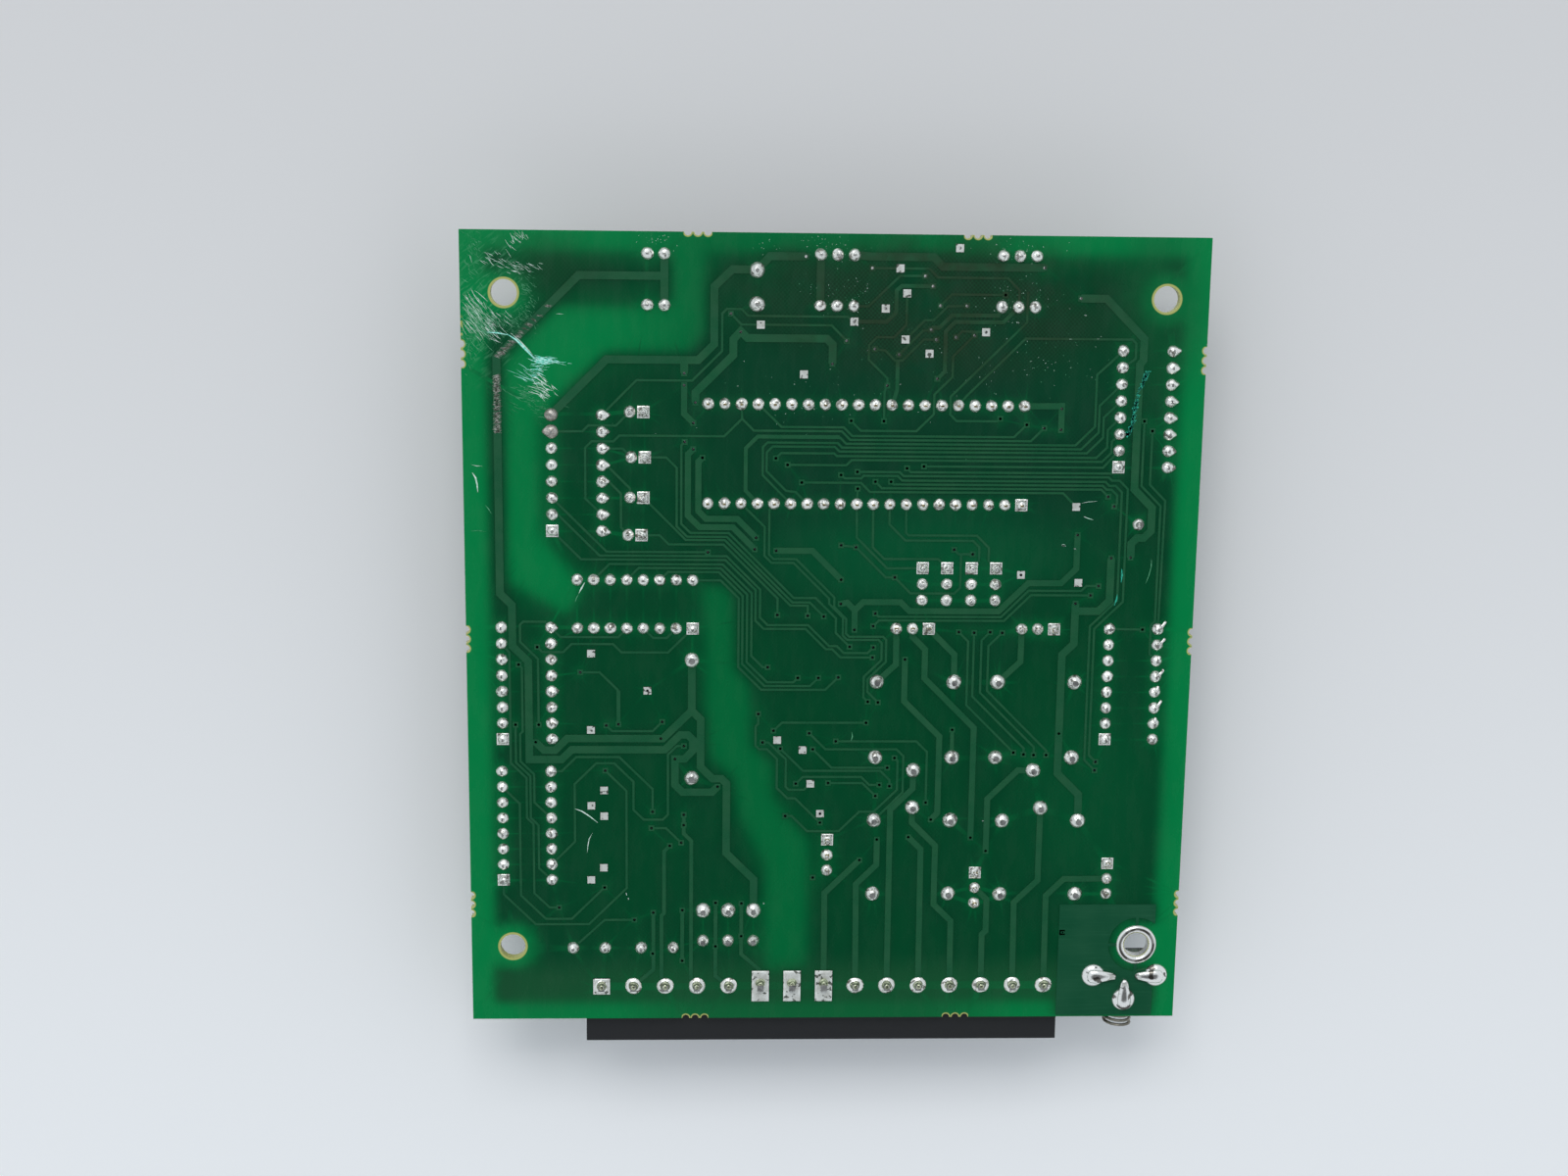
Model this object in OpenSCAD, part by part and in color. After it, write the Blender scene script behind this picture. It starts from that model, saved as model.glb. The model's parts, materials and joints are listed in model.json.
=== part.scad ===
// Relay control board, seen with its solder side up.
// The origin is the centre of the four mounting holes on the solder face, +Z points away
// from the components, and every component hangs below the board.

/* [Board] */
// Width of the laminate
board_w = 113; // [110:0.5:122]
// Height of the laminate
board_h = 124.5; // [123:0.5:134]
// Thickness of the laminate
board_t = 1.6; // [0.8:0.1:2.4]
// Distance from the hole centre down to the middle of the board
board_drop = 1.5; // [0:0.1:2.5]

/* [Mounting holes] */
// Distance between the holes across the board
hole_span_x = 100; // [98:0.5:102]
// Distance between the holes up the board
hole_span_y = 103; // [101:0.5:104]
// Diameter of a mounting hole
hole_d = 4; // [3:0.1:4.3]
// Outer diameter of the tinned ring on the earthed hole
earth_ring_d = 6.5; // [5.4:0.1:6.8]
// Clear gap around the tinned ring
ring_gap = 1.3; // [0.5:0.1:1.3]

/* [Break-off tabs] */
// Diameter of the drilled perforations
bite_d = 1.1; // [0.7:0.1:1.3]
// Spacing of the perforations
bite_pitch = 1.5; // [1.4:0.1:1.8]

/* [Copper] */
// Height of the masked copper above the laminate
copper_t = 0.07; // [0.04:0.01:0.12]
// Width of a signal track
thin_w = 0.35; // [0.25:0.01:0.4]
// Width of a driver track
mid_w = 0.6; // [0.4:0.05:0.7]
// Width of a relay contact track
relay_w = 0.95; // [0.8:0.05:1.1]
// Width of a supply track
wide_w = 1.2; // [1:0.05:1.3]
// Side of the square land around a via
via_w = 0.9; // [0.8:0.05:1]
// Diameter of a via hole
via_d = 0.45; // [0.3:0.05:0.5]
// Side of a bare tinned test pad
test_pad_w = 1.2; // [1:0.05:1.3]
// Bare rim of the component plane along the board edge
plane_rim = 3.6; // [2.5:0.1:4]
// Gap between the component plane and a pin's hole
plane_gap = 0.4; // [0.2:0.05:0.6]

/* [Solder joints] */
// Diameter of the joint on a chip, transistor or jumper pin
joint_d = 1.8; // [1.5:0.05:1.85]
// Height of a small joint
joint_h = 0.75; // [0.4:0.05:1]
// Diameter of the joint on a relay, varistor or capacitor pin
big_joint_d = 2.3; // [2:0.05:2.5]
// Height of a big joint
big_joint_h = 0.95; // [0.5:0.05:1.2]
// Diameter of the joint on a header pin
header_joint_d = 2.7; // [2.4:0.05:3]
// Side of a square pad
square_pad_w = 1.9; // [1.8:0.05:2.2]
// Length of a lead past the solder face
lead_tip = 1.15; // [1:0.05:1.6]
// Clearance of a lead's hole around the lead
drill_gap = 0.15; // [0.1:0.01:0.2]

/* [Chips] */
// Width of a narrow chip's body
chip_w = 6.4; // [6:0.1:6.8]
// Height of a narrow chip's body
chip_h = 3.4; // [3:0.1:4]
// Width of the microcontroller's body
mcu_w = 13.8; // [13:0.1:14.2]
// Height of the microcontroller's body
mcu_h = 3.9; // [3.4:0.1:4.4]
// Length of a body past its end pins
chip_end = 0.85; // [0.7:0.05:1]
// Gap between a body and what it stands on
chip_standoff = 0.5; // [0.4:0.05:1]
// Thickness of a chip's leads
lead_t = 0.26; // [0.2:0.01:0.3]
// Width of a chip's leads at the shoulder
shoulder_w = 1.4; // [1:0.05:1.6]
// Width of a chip's leads in the board
blade_w = 0.48; // [0.4:0.01:0.55]
// Height of the microcontroller's socket
socket_h = 4.2; // [3.6:0.1:5]
// Width of a socket rail
rail_w = 2.5; // [2.2:0.1:2.8]

/* [Relays] */
// Width of a relay
relay_case_w = 15.5; // [15:0.1:16]
// Length of a relay
relay_case_l = 19; // [18.6:0.1:19.4]
// Height of a relay case
relay_case_h = 15.2; // [12:0.1:18]
// Gap under a relay, set by its feet
relay_gap = 0.3; // [0.2:0.05:0.6]
// Diameter of a relay pin
relay_pin_d = 0.9; // [0.7:0.05:1]

/* [Plug-in header] */
// Number of positions
header_ways = 15; // [10:1:15]
// Height of the housing
header_h = 8.6; // [8.2:0.1:9.6]
// Distance from the pins to the open front
header_front = 9.9; // [9:0.1:11]
// Thickness of the housing's walls
header_wall = 1; // [0.8:0.05:1.1]
// Side of a header pin
header_pin_w = 1; // [0.8:0.05:1.1]
// Height of the pins above the board
header_pin_z = 2.6; // [2.4:0.05:2.8]

/* [Capacitors] */
// Diameter of the supply capacitor
supply_cap_d = 10; // [8:0.5:10.5]
// Height of the supply capacitor
supply_cap_h = 15.4; // [12:0.5:17]
// Diameter of a small capacitor
small_cap_d = 5; // [4.5:0.1:5.5]
// Height of a small capacitor
small_cap_h = 11; // [7:0.5:12]
// Thickness of the plastic sleeve
sleeve_t = 0.2; // [0.1:0.05:0.3]

/* [Suppressors] */
// Diameter of a varistor disc
varistor_d = 8.6; // [7.5:0.1:9]
// Thickness of a varistor disc
varistor_t = 3.4; // [2.5:0.1:3.6]
// Height of a film capacitor
film_cap_h = 7.4; // [6:0.1:9]
// Thickness of a film capacitor
film_cap_t = 3.2; // [2.5:0.1:4]

/* [Power resistor] */
// Diameter of the body
resistor_d = 5.2; // [4:0.1:6]
// Length of the body
resistor_l = 12.5; // [10:0.5:14]

/* [Transistors and jumpers] */
// Diameter of a transistor's body
transistor_d = 4.7; // [4.4:0.1:4.8]
// Thickness of a transistor's body across its flat
transistor_t = 3.6; // [3.2:0.1:3.7]
// Height of a transistor's body
transistor_h = 4.7; // [4:0.1:5.2]
// Side of a jumper pin
jumper_pin_w = 0.64; // [0.6:0.01:0.66]
// Length of a jumper pin above its strip
jumper_pin_l = 6; // [5.5:0.1:7]
// Height of a jumper link
link_h = 5.6; // [4.5:0.1:6]

/* [Earth contact] */
// Outer diameter of the spring
spring_d = 4.7; // [4:0.1:5]
// Diameter of the spring's wire
spring_wire = 0.5; // [0.4:0.05:0.6]
// Number of turns in the spring
spring_turns = 7; // [5:1:8]
// Thickness of the bracket's sheet
bracket_t = 0.5; // [0.4:0.05:0.6]

/* [Hidden] */
$fn = 32;
eps = 0.01;
pitch = 2.54;
header_pitch = 2 * pitch;
row_narrow = 3 * pitch;
row_wide = 6 * pitch;

// ---- Placements: [x, y of pin 1, turn, pins, row spacing] ----
mcu = [28.9, 19.9, 0, 40, row_wide];
chip_tl = [-43.1, 15.5, -90, 16, row_narrow];
chip_tr = [43.7, 25.9, -90, 16, row_narrow];
chip_ml = [-51.1, -17.4, -90, 16, row_narrow];
chip_bl = [-51.3, -40.4, -90, 16, row_narrow];
chip_rt = [43.4, -17.3, -90, 16, row_narrow];
chip_rw = [-21.6, 0.3, 0, 16, row_narrow];
opto_1 = [-26, 49.9, 0, 4, row_narrow];
opto_2 = [2.5, 50, 0, 6, row_narrow];
opto_3 = [30, 50.1, 0, 6, row_narrow];
chips = [chip_tl, chip_tr, chip_ml, chip_bl, chip_rt, chip_rw];
optos = [opto_1, opto_2, opto_3];

function turned(v, a) = [v[0] * cos(a) - v[1] * sin(a), v[0] * sin(a) + v[1] * cos(a)];
function pin(d, n) =
    let (half = d[3] / 2, k = n <= half ? n - 1 : d[3] - n, row = n <= half ? 0 : d[4])
    [d[0], d[1]] + turned([-k * pitch, row], d[2]);
function pins(d) = [for (n = [1:d[3]]) pin(d, n)];
function middle(d) = (pin(d, 1) + pin(d, d[3] / 2 + 1)) / 2;

// Relays: [x, y of the common pin, direction of the body]
relays = [[13.2, -22.4, 1], [32.2, -22.4, 1], [13.2, -28.5, -1], [33.6, -28.6, -1]];
relay_coil_y = 2.1;
relay_contact_y = 14.3;
relay_pin_x = 6.05;
relay_back = (relay_case_l - relay_contact_y) / 2 - 0.6;
function common(r) = [r[0], r[1]];
function coil(r, s) = [r[0] + s * relay_pin_x, r[1] + r[2] * relay_coil_y];
function contact(r, s) = [r[0] + s * relay_pin_x, r[1] + r[2] * relay_contact_y];
function relay_pins_of(r) = [common(r), coil(r, -1), coil(r, 1), contact(r, -1), contact(r, 1)];

// Header, pin 1 on the left
board_low = -board_drop - board_h / 2;
header_x = -0.4;
header_y = board_low + 5.45;
function way(k) = [header_x + (k - (header_ways + 1) / 2) * header_pitch, header_y];
header_pins_at = [for (k = [1:header_ways]) way(k)];
header_len = header_ways * header_pitch;
tall_ways = [6, 7, 8];
tall_pad = [2.8, 5.2];
// The parts beside the header keep their distance from its pins
film_up = 6.5;
varistor_up = 10.2;
film_track_y = header_y + 11.2;

// Jumper strips: [x, y of the square pin, direction to the next pin]
jumpers = [
    [15.1, 0.4, [-1, 0]], [34.7, 0.4, [-1, 0]], [-0.2, -33.8, [0, -1]],
    [23.5, -39.3, [0, -1]], [44.7, -37.8, [0, -1]]
];
function jumper_pin(j, n) = [j[0], j[1]] + (n - 1) * pitch * j[2];
jumper_pins_at = [for (j = jumpers, n = [1:3]) jumper_pin(j, n)];

// Transistors: the square pin of each, the others below it
transistors_at = [[13.9, 10], [17.7, 10], [21.5, 10], [25.3, 10]];
function transistor_pin(t, n) = t - [0, (n - 1) * pitch];
transistor_pins_at = [for (t = transistors_at, n = [1:3]) transistor_pin(t, n)];

// Two-pin parts: [centre, direction from pin to pin, spacing]
supply_cap = [[-12.1, 52.7], [0, 1], header_pitch];
small_caps = [for (c = [[-30.2, 33.8], [-30, 26.9], [-30.2, 20.7], [-30.5, 14.9]]) [c, [1, 0], 2.05]];
varistors_at = [for (x = [-19.8, -15.8, -11.8]) [[x, header_y + varistor_up], [0, 1], header_pitch]];
film_caps = [for (x = [-37.9, -27.1]) [[x, header_y + film_up], [1, 0], header_pitch]];
resistor = [[-21.7, -14.2], [0, 1], 19];
post = [47.2, 17];
function end(part, s) = part[0] + part[1] * s * part[2] / 2;
function ends(list) = [for (part = list, s = [-1, 1]) end(part, s)];

// Earth contact: [foot of a tab, turn, length of its tongue]
earth_y = -hole_span_y / 2 - 5.2;
spring_x = 48.3;
earth_tabs = [
    [[43.2, earth_y], 0, 3.5], [[53.4, earth_y], 180, 3.1], [[spring_x, earth_y - 4.1], 90, 3.1]
];
tab_w = 1.8;

// Square bare pads for probes; the second list has open holes
test_pads_at = [
    [9.4, 55.7], [10.5, 52], [-11.5, 47.1], [10.4, 45.1], [14.1, 43], [-4.9, 39.7], [37.4, 19.7],
    [38.2, 7.8], [-37.3, -3.7], [-37.4, -15.9], [-8.3, -17.5], [-4.3, -19.1], [-3, -24.6],
    [-35.4, -25.7], [-37.4, -28.2], [-35.4, -29.9], [-35.5, -38.4], [-37.5, -40.4]
];
open_pads_at = [
    [18.3, 58.8], [7.3, 49.7], [2.6, 47.7], [22.6, 46.3], [29.2, 9], [-28.6, -9.6], [-1.4, -29.5]
];

// ---- Tracks on the solder side ----
w_tracks = [
    // supply line down the left edge and round to the right
    [pin(opto_1, 4), pin(opto_1, 1)],
    [[-26, 54.2], [-38.8, 54.2], [-51.2, 41.8], [-51.2, 5.7], [-49.4, 3.9], [-49.4, -2.6],
        [-47, -5], [-47, -20.7], [-42, -20.7], [-40.4, -19.1], [-25.9, -19.1], [-23.5, -16.7],
        [-22.3, -16.7], [-21.5, -17.5], [-21.5, -19.2], [-22.8, -20.6], [-24.3, -20.6],
        [-24.3, -24.8], [-23.1, -26], [-18.5, -26], [-17.6, -25.1]],
    [[-46, -17.9], [-44.7, -19.2], [-43, -19.2], [-41.1, -17.3], [-26.2, -17.3], [-21.7, -12.8],
        end(resistor, 1)],
    [[-21.7, -12.8], [-20.3, -14.2], [-20.3, -21.9], [-18.4, -23.8], [-17, -23.8], [-16.2, -24.6],
        [-16.2, -36], [-11.8, -40.4], end(varistors_at[2], 1)],
    // supply line from the top capacitor to the left chip
    [pin(chip_tl, 8), [-34.7, 41.7], [-20.9, 41.7], [-18.5, 44.1], [-18.5, 52.7], [-15.8, 55.3],
        end(supply_cap, 1)],
    [end(supply_cap, 1), [-10.2, 57.3], [-4.8, 57.3]],
    [[-23, 41.7], [-23, 39.7]],
    [pin(opto_2, 3), pin(opto_2, 4)],
    [pin(opto_2, 6), [5, 57.4], [14.4, 57.4], [15.8, 56], [31.2, 56]],
    [[-21.3, 35.3], [-21.3, 36.8], [-15.6, 42.5], [-15.6, 44.9], [-14.5, 46.1], [-13.5, 45.1],
        [-1.5, 45.1], [-0.6, 44.2], [-0.6, 41.3]],
    // supply line down the right edge
    [[36.9, 51.5], [40.8, 51.5], [46.8, 45.5], [46.8, 42.3], [46.3, 41.6], [46.3, 22.5],
        [49.2, 19.6], [49.2, 16], [48.1, 14.9], [47.1, 14.9], [46.2, 14], [46.2, 11.8]],
    [[43.2, 11.7], [43.2, 5], [41.5, 3.3], [37.9, 3.3]],
    [[37.9, 4.5], [37.9, -1.9], [36.1, -3.7], [36.1, -22.9], [39.6, -26.4], coil(relays[3], 1)]
];
r_tracks = [
    [[-23, 37.9], [-23, 33.6], [-21.6, 32.2]],
    [pin(mcu, 40), [34.6, 35.2]],
    [[34.6, 35.7], [34.6, 31.1]],
    [[-20.2, 26.9], [-20.8, 26.3], [-20.8, 18.7], [-19.6, 17.5], [-14.8, 17.5], [-11.9, 14.6]],
    [[-21.6, 28.2], [-22.4, 27.4], [-22.4, 18], [-20.6, 16.2], [-15.5, 16.2], [-12.1, 12.8]],
    [[-8.8, 12.6], [-3.2, 12.6], [1.3, 8.1]],
    [[1.3, 4.3], [2.3, 4.5], [3.5, 3.3], [3.5, 0.2]],
    [[3.5, 3.3], [4.8, 4.6], [10.6, 4.6], [12, 3.2], [25.9, 3.2], [30.4, 7.7], [35.5, 7.7],
        [37.8, 10], [37.8, 15.3]],
    // relay contacts and coils
    [jumper_pin(jumpers[0], 3), [10.1, -5.3], contact(relays[0], -1)],
    [jumper_pin(jumpers[0], 1), [19.2, -3.7], contact(relays[0], 1)],
    [jumper_pin(jumpers[0], 2), [12.6, -0.9], [14.6, -2.9], [14.6, -7.5], [22.6, -15.5], [22.6, -33.5]],
    [jumper_pin(jumpers[1], 3), [29.6, -4.8], contact(relays[1], -1)],
    [[11.5, -4.5], [11.5, -11.2], [17.2, -16.9], [17.2, -29.4], [16.2, -30.5]],
    [common(relays[1]), [29.8, -22.4], [25.1, -27.1], [25.1, -35.7]],
    [common(relays[0]), [13.2, -25.4], [9.7, -28.9], way(10)],
    [common(relays[2]), [13.2, -31], [17, -34.8], [17, -44.6], [19.8, -47.4], way(12)],
    [[12.7, -33.4], [14.7, -35.4], way(11)],
    [[7.7, -33.8], [7.7, -38], [4.5, -41.2], way(9)],
    [[5, -37.2], [-0.5, -42.7], way(8)],
    [jumper_pin(jumpers[3], 2), [25.5, -43.8], [25.5, -49.1], [24.9, -49.7], way(13)],
    [common(relays[3]), [33.6, -40.6], [29.9, -44.3], way(14)],
    [jumper_pin(jumpers[4], 2), [37.8, -40.4], [35, -43.2], way(15)]
];
m_tracks = [
    [[2.6, 47.7], [7.5, 47.7], [8.9, 49.1], [8.9, 52.4], [9.7, 53.1], [14.4, 53.1]],
    [[9.3, 41.9], [9.3, 37.4], pin(mcu, 32)],
    [[15.4, 39.2], [16.5, 40.3], [16.5, 46.4], [17.9, 47.8], [25.2, 47.8], pin(opto_3, 2)],
    [[14.4, 46.9], [15.5, 46.9], [17.4, 48.8], [24.4, 48.8], pin(opto_3, 3)],
    [pin(mcu, 17), [-13.6, 21.9], [-13.6, 28.4], [-11.8, 30.2], [0.7, 30.2]],
    [[-17.8, -44.3], [-17.8, -56.6], way(5)],
    [[-13.7, -44.4], [-13.7, -52.9], way(6) + [0, tall_pad[1] / 2]],
    [[-25.1, -34.8], [-26, -35.7], [-26, -46], [-26.4, -46.4], [-26.4, -57.5], way(3)],
    [[-22.9, -29.7], [-22.9, -32.8], [-21.7, -34], [-21.7, -57], way(4)],
    [[-27.7, -45.9], [-27.7, -55.5], way(2)],
    [[-23.1, -45.5], [-23.1, -54]],
    [[-33.1, -15], [-33.1, -9.6]],
    [coil(relays[0], 1), [19.2, -15.8]]
];
t_tracks = [
    // top left
    [end(small_caps[0], -1), [-33.3, 31.7], [-37.5, 31.7], [-38.4, 30.8], pin(chip_tl, 7)],
    [pin(chip_tl, 9), [-30.2, 38.6], [-21.8, 38.6], [-17.3, 43.1], [-17.3, 48.7], [-16.6, 49.4],
        [-14.4, 49.4], [-13.4, 48.4], [1.6, 48.4], open_pads_at[2]],
    [pin(mcu, 23), [-14.2, 32.9], [-16.9, 30.2], [-32.8, 30.2], [-33.7, 29.3], [-37, 29.3],
        [-38, 28.3], [-38, 20.5], pin(chip_tl, 15)],
    [pin(chip_tl, 11), [-32.3, 28.2], end(small_caps[1], -1)],
    [pin(chip_tl, 12), [-34.4, 25.3], [-31.2, 22.1], end(small_caps[2], -1)],
    [pin(chip_tl, 13), [-34.2, 22.9], [-32.6, 21.3], [-32.6, 16.1], end(small_caps[3], -1)],
    [[-16, 48.7], [-14.4, 47.1], [-0.8, 47.1], [1.5, 44.8]],
    // top middle
    [[5.2, 55.7], [13.8, 55.7], [15.1, 54.4], [25.7, 54.4], [27.5, 52.6], pin(opto_3, 2)],
    [pin(opto_2, 1), [4.7, 50], [9.4, 54.6], [13.2, 54.6]],
    [[15.6, 50.2], [17.3, 51.9], [25.4, 51.9]],
    [[9.5, 42.8], [13, 46.4], [14.3, 46.6]],
    [test_pads_at[3], [13.3, 48], [14.6, 48], [16.7, 50.1], [19.6, 50.2]],
    [test_pads_at[1], [10.5, 47.3], [8.7, 45.4], [6.1, 45.4], [4.9, 44.2], [4.9, 42], [7.8, 39.2],
        [7.8, 38.1]],
    [[7.8, 38.1], [7.4, 37.2], [7.4, 32.7]],
    [[5.8, 43.6], [7.4, 43.4], [8.9, 41.9], [10, 41.9], [13.2, 45.1], [15.1, 45.1]],
    [[18.1, 45.5], [19, 46.4], open_pads_at[3]],
    [[20.9, 45.8], [17.7, 42.6], [17.7, 39.5], [15, 36.8], [15, 33.8], [12.4, 31.2], [3.9, 31.2],
        [2.4, 32.7]],
    [[28.8, 52.4], [28.8, 47.8], [17.5, 36.5], [17.5, 33.8], [18.5, 32.8], [24.8, 32.8], [25.2, 33.2]],
    [pin(mcu, 36), [19.9, 36.6], [28.7, 45.4], [45, 45.4], [45.6, 44.8], [45.6, 42.5],
        pin(chip_tr, 7)],
    // bus through the middle of the microcontroller
    [pin(mcu, 24), [-8.2, 31.7], [1.3, 31.7], [2.6, 30.4], [27.4, 30.4], [29.3, 32.3]],
    [[-14.2, 32.9], [-12.4, 31.1], [1, 31.1], [2.3, 29.8], [30, 29.8], [32, 31.8]],
    [[0.7, 30.2], [1.7, 29.2], [36.9, 29.2], [39.8, 32.1], [39.8, 40], pin(chip_tr, 8)],
    [pin(mcu, 15), [-11, 24.3], [-11, 28.6], [-10.3, 29.3], [0.4, 29.3], [1.1, 28.6], [37.8, 28.6],
        [40.4, 31.2], [40.4, 35.3], pin(chip_tr, 6)],
    [pin(mcu, 14), [-5.9, 21.7], [-7.4, 21.9], [-10.4, 24.9], [-10.4, 27.8], [-9.5, 28.7], [0, 28.7],
        [0.7, 28], [38.7, 28], [41.1, 30.4], [41.1, 33.5], pin(chip_tr, 5)],
    [[-9, 26.9], [-8.2, 27.7], [-0.1, 27.7], [0.3, 27.3], [40.2, 27.3], [41.8, 28.9], [41.8, 31.6],
        pin(chip_tr, 4)],
    [[-7.2, 25.9], [1.8, 25.9], [2.6, 26.7], [41.1, 26.7], [42.5, 28.1], [42.5, 29.8],
        pin(chip_tr, 3)],
    [[13.7, 25.8], [41.3, 25.8], pin(chip_tr, 2)],
    [[11.1, 25.5], [11.7, 24.9], [42.7, 24.9], pin(chip_tr, 1)],
    [[3.5, 24.9], [10, 24.9], [10.6, 24.3], [42.3, 24.3], [42.8, 23.8], [44, 23.8], [45.3, 22.5],
        [45.3, 4.8], [41, 0.5], [41, -19.9], [42.1, -21]],
    [[1, 24.4], [1.6, 23.9], [4.1, 23.9], [4.5, 24.3], [9.7, 24.3], [10.4, 23.6], [41.8, 23.6],
        [42.4, 23], [43.4, 23], [44.4, 22], [44.4, 5], [40.3, 0.9], [40.3, -20.7], [42, -22.4]],
    [[8.7, 23.4], [9.1, 23], [41.4, 23], [42, 22.4], [42.8, 22.4], [43.7, 21.5], [43.7, 20.2],
        [43.3, 19.8]],
    [[6.3, 23.4], [7.3, 22.4], [41.2, 22.4], [42.3, 21.3]],
    [[-5, 23.2], [4.1, 23.2], [5.5, 21.8], [35.3, 21.8], test_pads_at[6]],
    [pin(mcu, 11), [3.6, 22.3]],
    // right edge
    [[47.4, 33], [47.4, 23], [50.5, 19.9], [50.5, 1.7], [49.9, 1.1], [49.9, -3.5], pin(chip_rt, 11)],
    [[48.7, 31.5], [48.7, 23.2], [51.2, 20.7], pin(chip_rt, 9)],
    [pin(chip_rt, 8), [48.6, 0.4]],
    // transistor drives
    [pin(mcu, 11), [3.6, 14.7], [8.4, 9.9], transistors_at[0]],
    [pin(mcu, 10), [6.1, 13.2], [7.9, 11.4], [16.3, 11.4], transistors_at[1]],
    [pin(mcu, 9), [8.6, 16.8], [11.1, 14.3], [21.6, 14.3], [22.6, 13.3], [22.6, 11.1],
        transistors_at[2]],
    [pin(mcu, 8), [11.2, 15.5], [11.6, 15.1], [22.2, 15.1], [24.1, 13.2], [24.1, 11.2],
        transistors_at[3]],
    [[1.2, 13.5], [3.5, 13.2], [8.2, 8.5], [9.6, 8.5], [12.1, 6], [18.9, 6], [19.8, 6.9],
        [19.8, 12.2]],
    [[18.7, 12.9], [19.4, 12.2], [21.6, 12.2]],
    [[6.7, 2.8], [7.2, 2.3], [26.3, 2.3], [30.5, 6.5], [38.7, 6.5], [39.5, 7.3], [41.4, 7.3]],
    [[6.4, 0.8], [7.3, 1.7], [26.8, 1.7], [30.9, 5.8], [40.2, 5.8]],
    [[19.8, -0.1], [21.3, -1.6], [21.3, -11.8], [29, -19.5]],
    [[22.2, -0.2], [22.2, -10.4], [30.6, -18.8], [30.6, -19.8]],
    [[24.7, -0.1], [23.4, -1.4], [23.4, -9.8], [32.2, -18.6], [32.2, -19.9]],
    [[26.6, -0.2], [24.5, -2.3], [24.5, -9.5], [34.2, -19.2], [34.2, -19.9]],
    // bundle from the left chips to the middle
    [pin(mcu, 16), [-9.9, 19], [-9.9, 12], [-9.2, 11.3], [-5.7, 11.3], [0.3, 5.3], [0.3, 3.8],
        [2.2, 1.9], [2.2, -0.4], [2.7, -0.9], [8, -0.9], [8.5, -1.4], [8.5, -4.9], [5.7, -7.7],
        [5.7, -9.7], [7.4, -11.4]],
    [pin(mcu, 18), [-10.6, 16.3], [-10.6, 11.8], [-9.5, 10.7], [-6.1, 10.7], [-0.5, 5.1],
        [-0.5, 4.3], [1.7, 2.1], [1.7, -0.7], [2.4, -1.4], [7.3, -1.4], [7.8, -1.9], [7.8, -4.6],
        [5.1, -7.3], [5.1, -10.6], [5.8, -11.3]],
    [[-22.9, 29.3], [-23.4, 28.8], [-23.4, 16.7], [-22, 15.3], [-16.1, 15.3], [-6, 5.2],
        [-2.6, 5.2], [0.6, 2], [0.6, -0.3], [2.8, -2.5]],
    [end(small_caps[1], 1), [-25.7, 26.9], [-24.1, 25.3], [-24.1, 16.3], [-22.5, 14.7],
        [-16.4, 14.7], [-6.2, 4.5], [-3.5, 4.5], [-1.3, 2.3]],
    [end(small_caps[2], 1), [-22.7, 14.2], [-16.7, 14.2], [-6.5, 4], [-3.8, 4], [-3.8, 2.4]],
    [end(small_caps[3], 1), [-26.7, 14.9], [-25.3, 13.5], [-16.9, 13.5], [-8.5, 5.1], [-8.5, 2.5]],
    [pin(chip_tl, 3), [-34.8, 12.3], [-19.3, 12.3]],
    [pin(chip_tl, 2), [-42.2, 18], [-35.9, 11.7], [-16.4, 11.7], [-11.2, 6.5], [-11.2, 2.1], [-10, 0.9],
        [-3.7, 0.9], [-0.4, -2.4], [0.8, -2.4], [1.9, -3.5], [5.6, -3.5], [6.5, -2.6]],
    [pin(chip_tl, 1), [-38.7, 11.1], [-16.6, 11.1], [-11.9, 6.4], [-11.9, 1.6], [-10.6, 0.3],
        [-4.1, 0.3], [-0.9, -2.9], [0.1, -2.9], [1.4, -4.2], [6.4, -4.2]],
    [pin(chip_rw, 10), [-34.4, 10.4], [-17, 10.4], [-12.5, 5.9], [-12.5, -4], [-10.7, -5.8],
        [-9.9, -5.8]],
    [pin(chip_rw, 12), [-29.9, 9.8], [-17.3, 9.8], [-13.2, 5.7], [-13.2, -5], [-10, -8.2],
        [-5.9, -8.2], [-5.2, -7.5]],
    [pin(chip_rw, 14), [-25.4, 9.2], [-17.6, 9.2], [-13.9, 5.5], [-13.9, -5.3], [-10.4, -8.8],
        [-3.3, -8.8], [-2, -7.5]],
    [pin(chip_rw, 16), [-17.3, 7.9], [-14.5, 5.1], [-14.5, -5.8], [-10.9, -9.4], [-0.9, -9.4],
        [1.1, -7.4]],
    // left chips
    [[-48.5, -5.5], [-48, -6], [-48, -16.2], [-48.4, -16.6], [-48.4, -21], [-46.3, -23.1],
        [-46.3, -27.7], pin(chip_bl, 12)],
    [[-49.1, -15.1], [-49.1, -21.2], [-46.9, -23.4], [-46.9, -30.2], [-45.7, -31.4],
        [-45.7, -38.5], pin(chip_bl, 16)],
    [pin(chip_ml, 7), [-49.9, -3.6], [-49.9, -21.3], [-47.5, -23.7], [-47.5, -30.2], [-46.5, -31.2],
        [-46.5, -42.6], [-44.1, -45], [-42.6, -45]],
    [pin(chip_bl, 7), [-48.6, -27.9], [-48.6, -43], [-44.7, -46.9], [-40.6, -46.9], [-35.4, -41.7]],
    [[-35.2, -22.5], [-31.9, -25.8], [-31.9, -41.8], [-37.9, -47.8], [-46.3, -47.8],
        [-51.3, -42.8], pin(chip_bl, 1)],
    [pin(chip_bl, 9), [-42, -22.6], [-39.7, -20.3], [-33, -20.3], [-27.8, -25.5], [-27.8, -29.2]],
    [pin(chip_bl, 15), [-40, -34.1], [-40, -24.7], [-36.6, -21.3], [-33.8, -21.3], [-30.8, -24.3],
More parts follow.
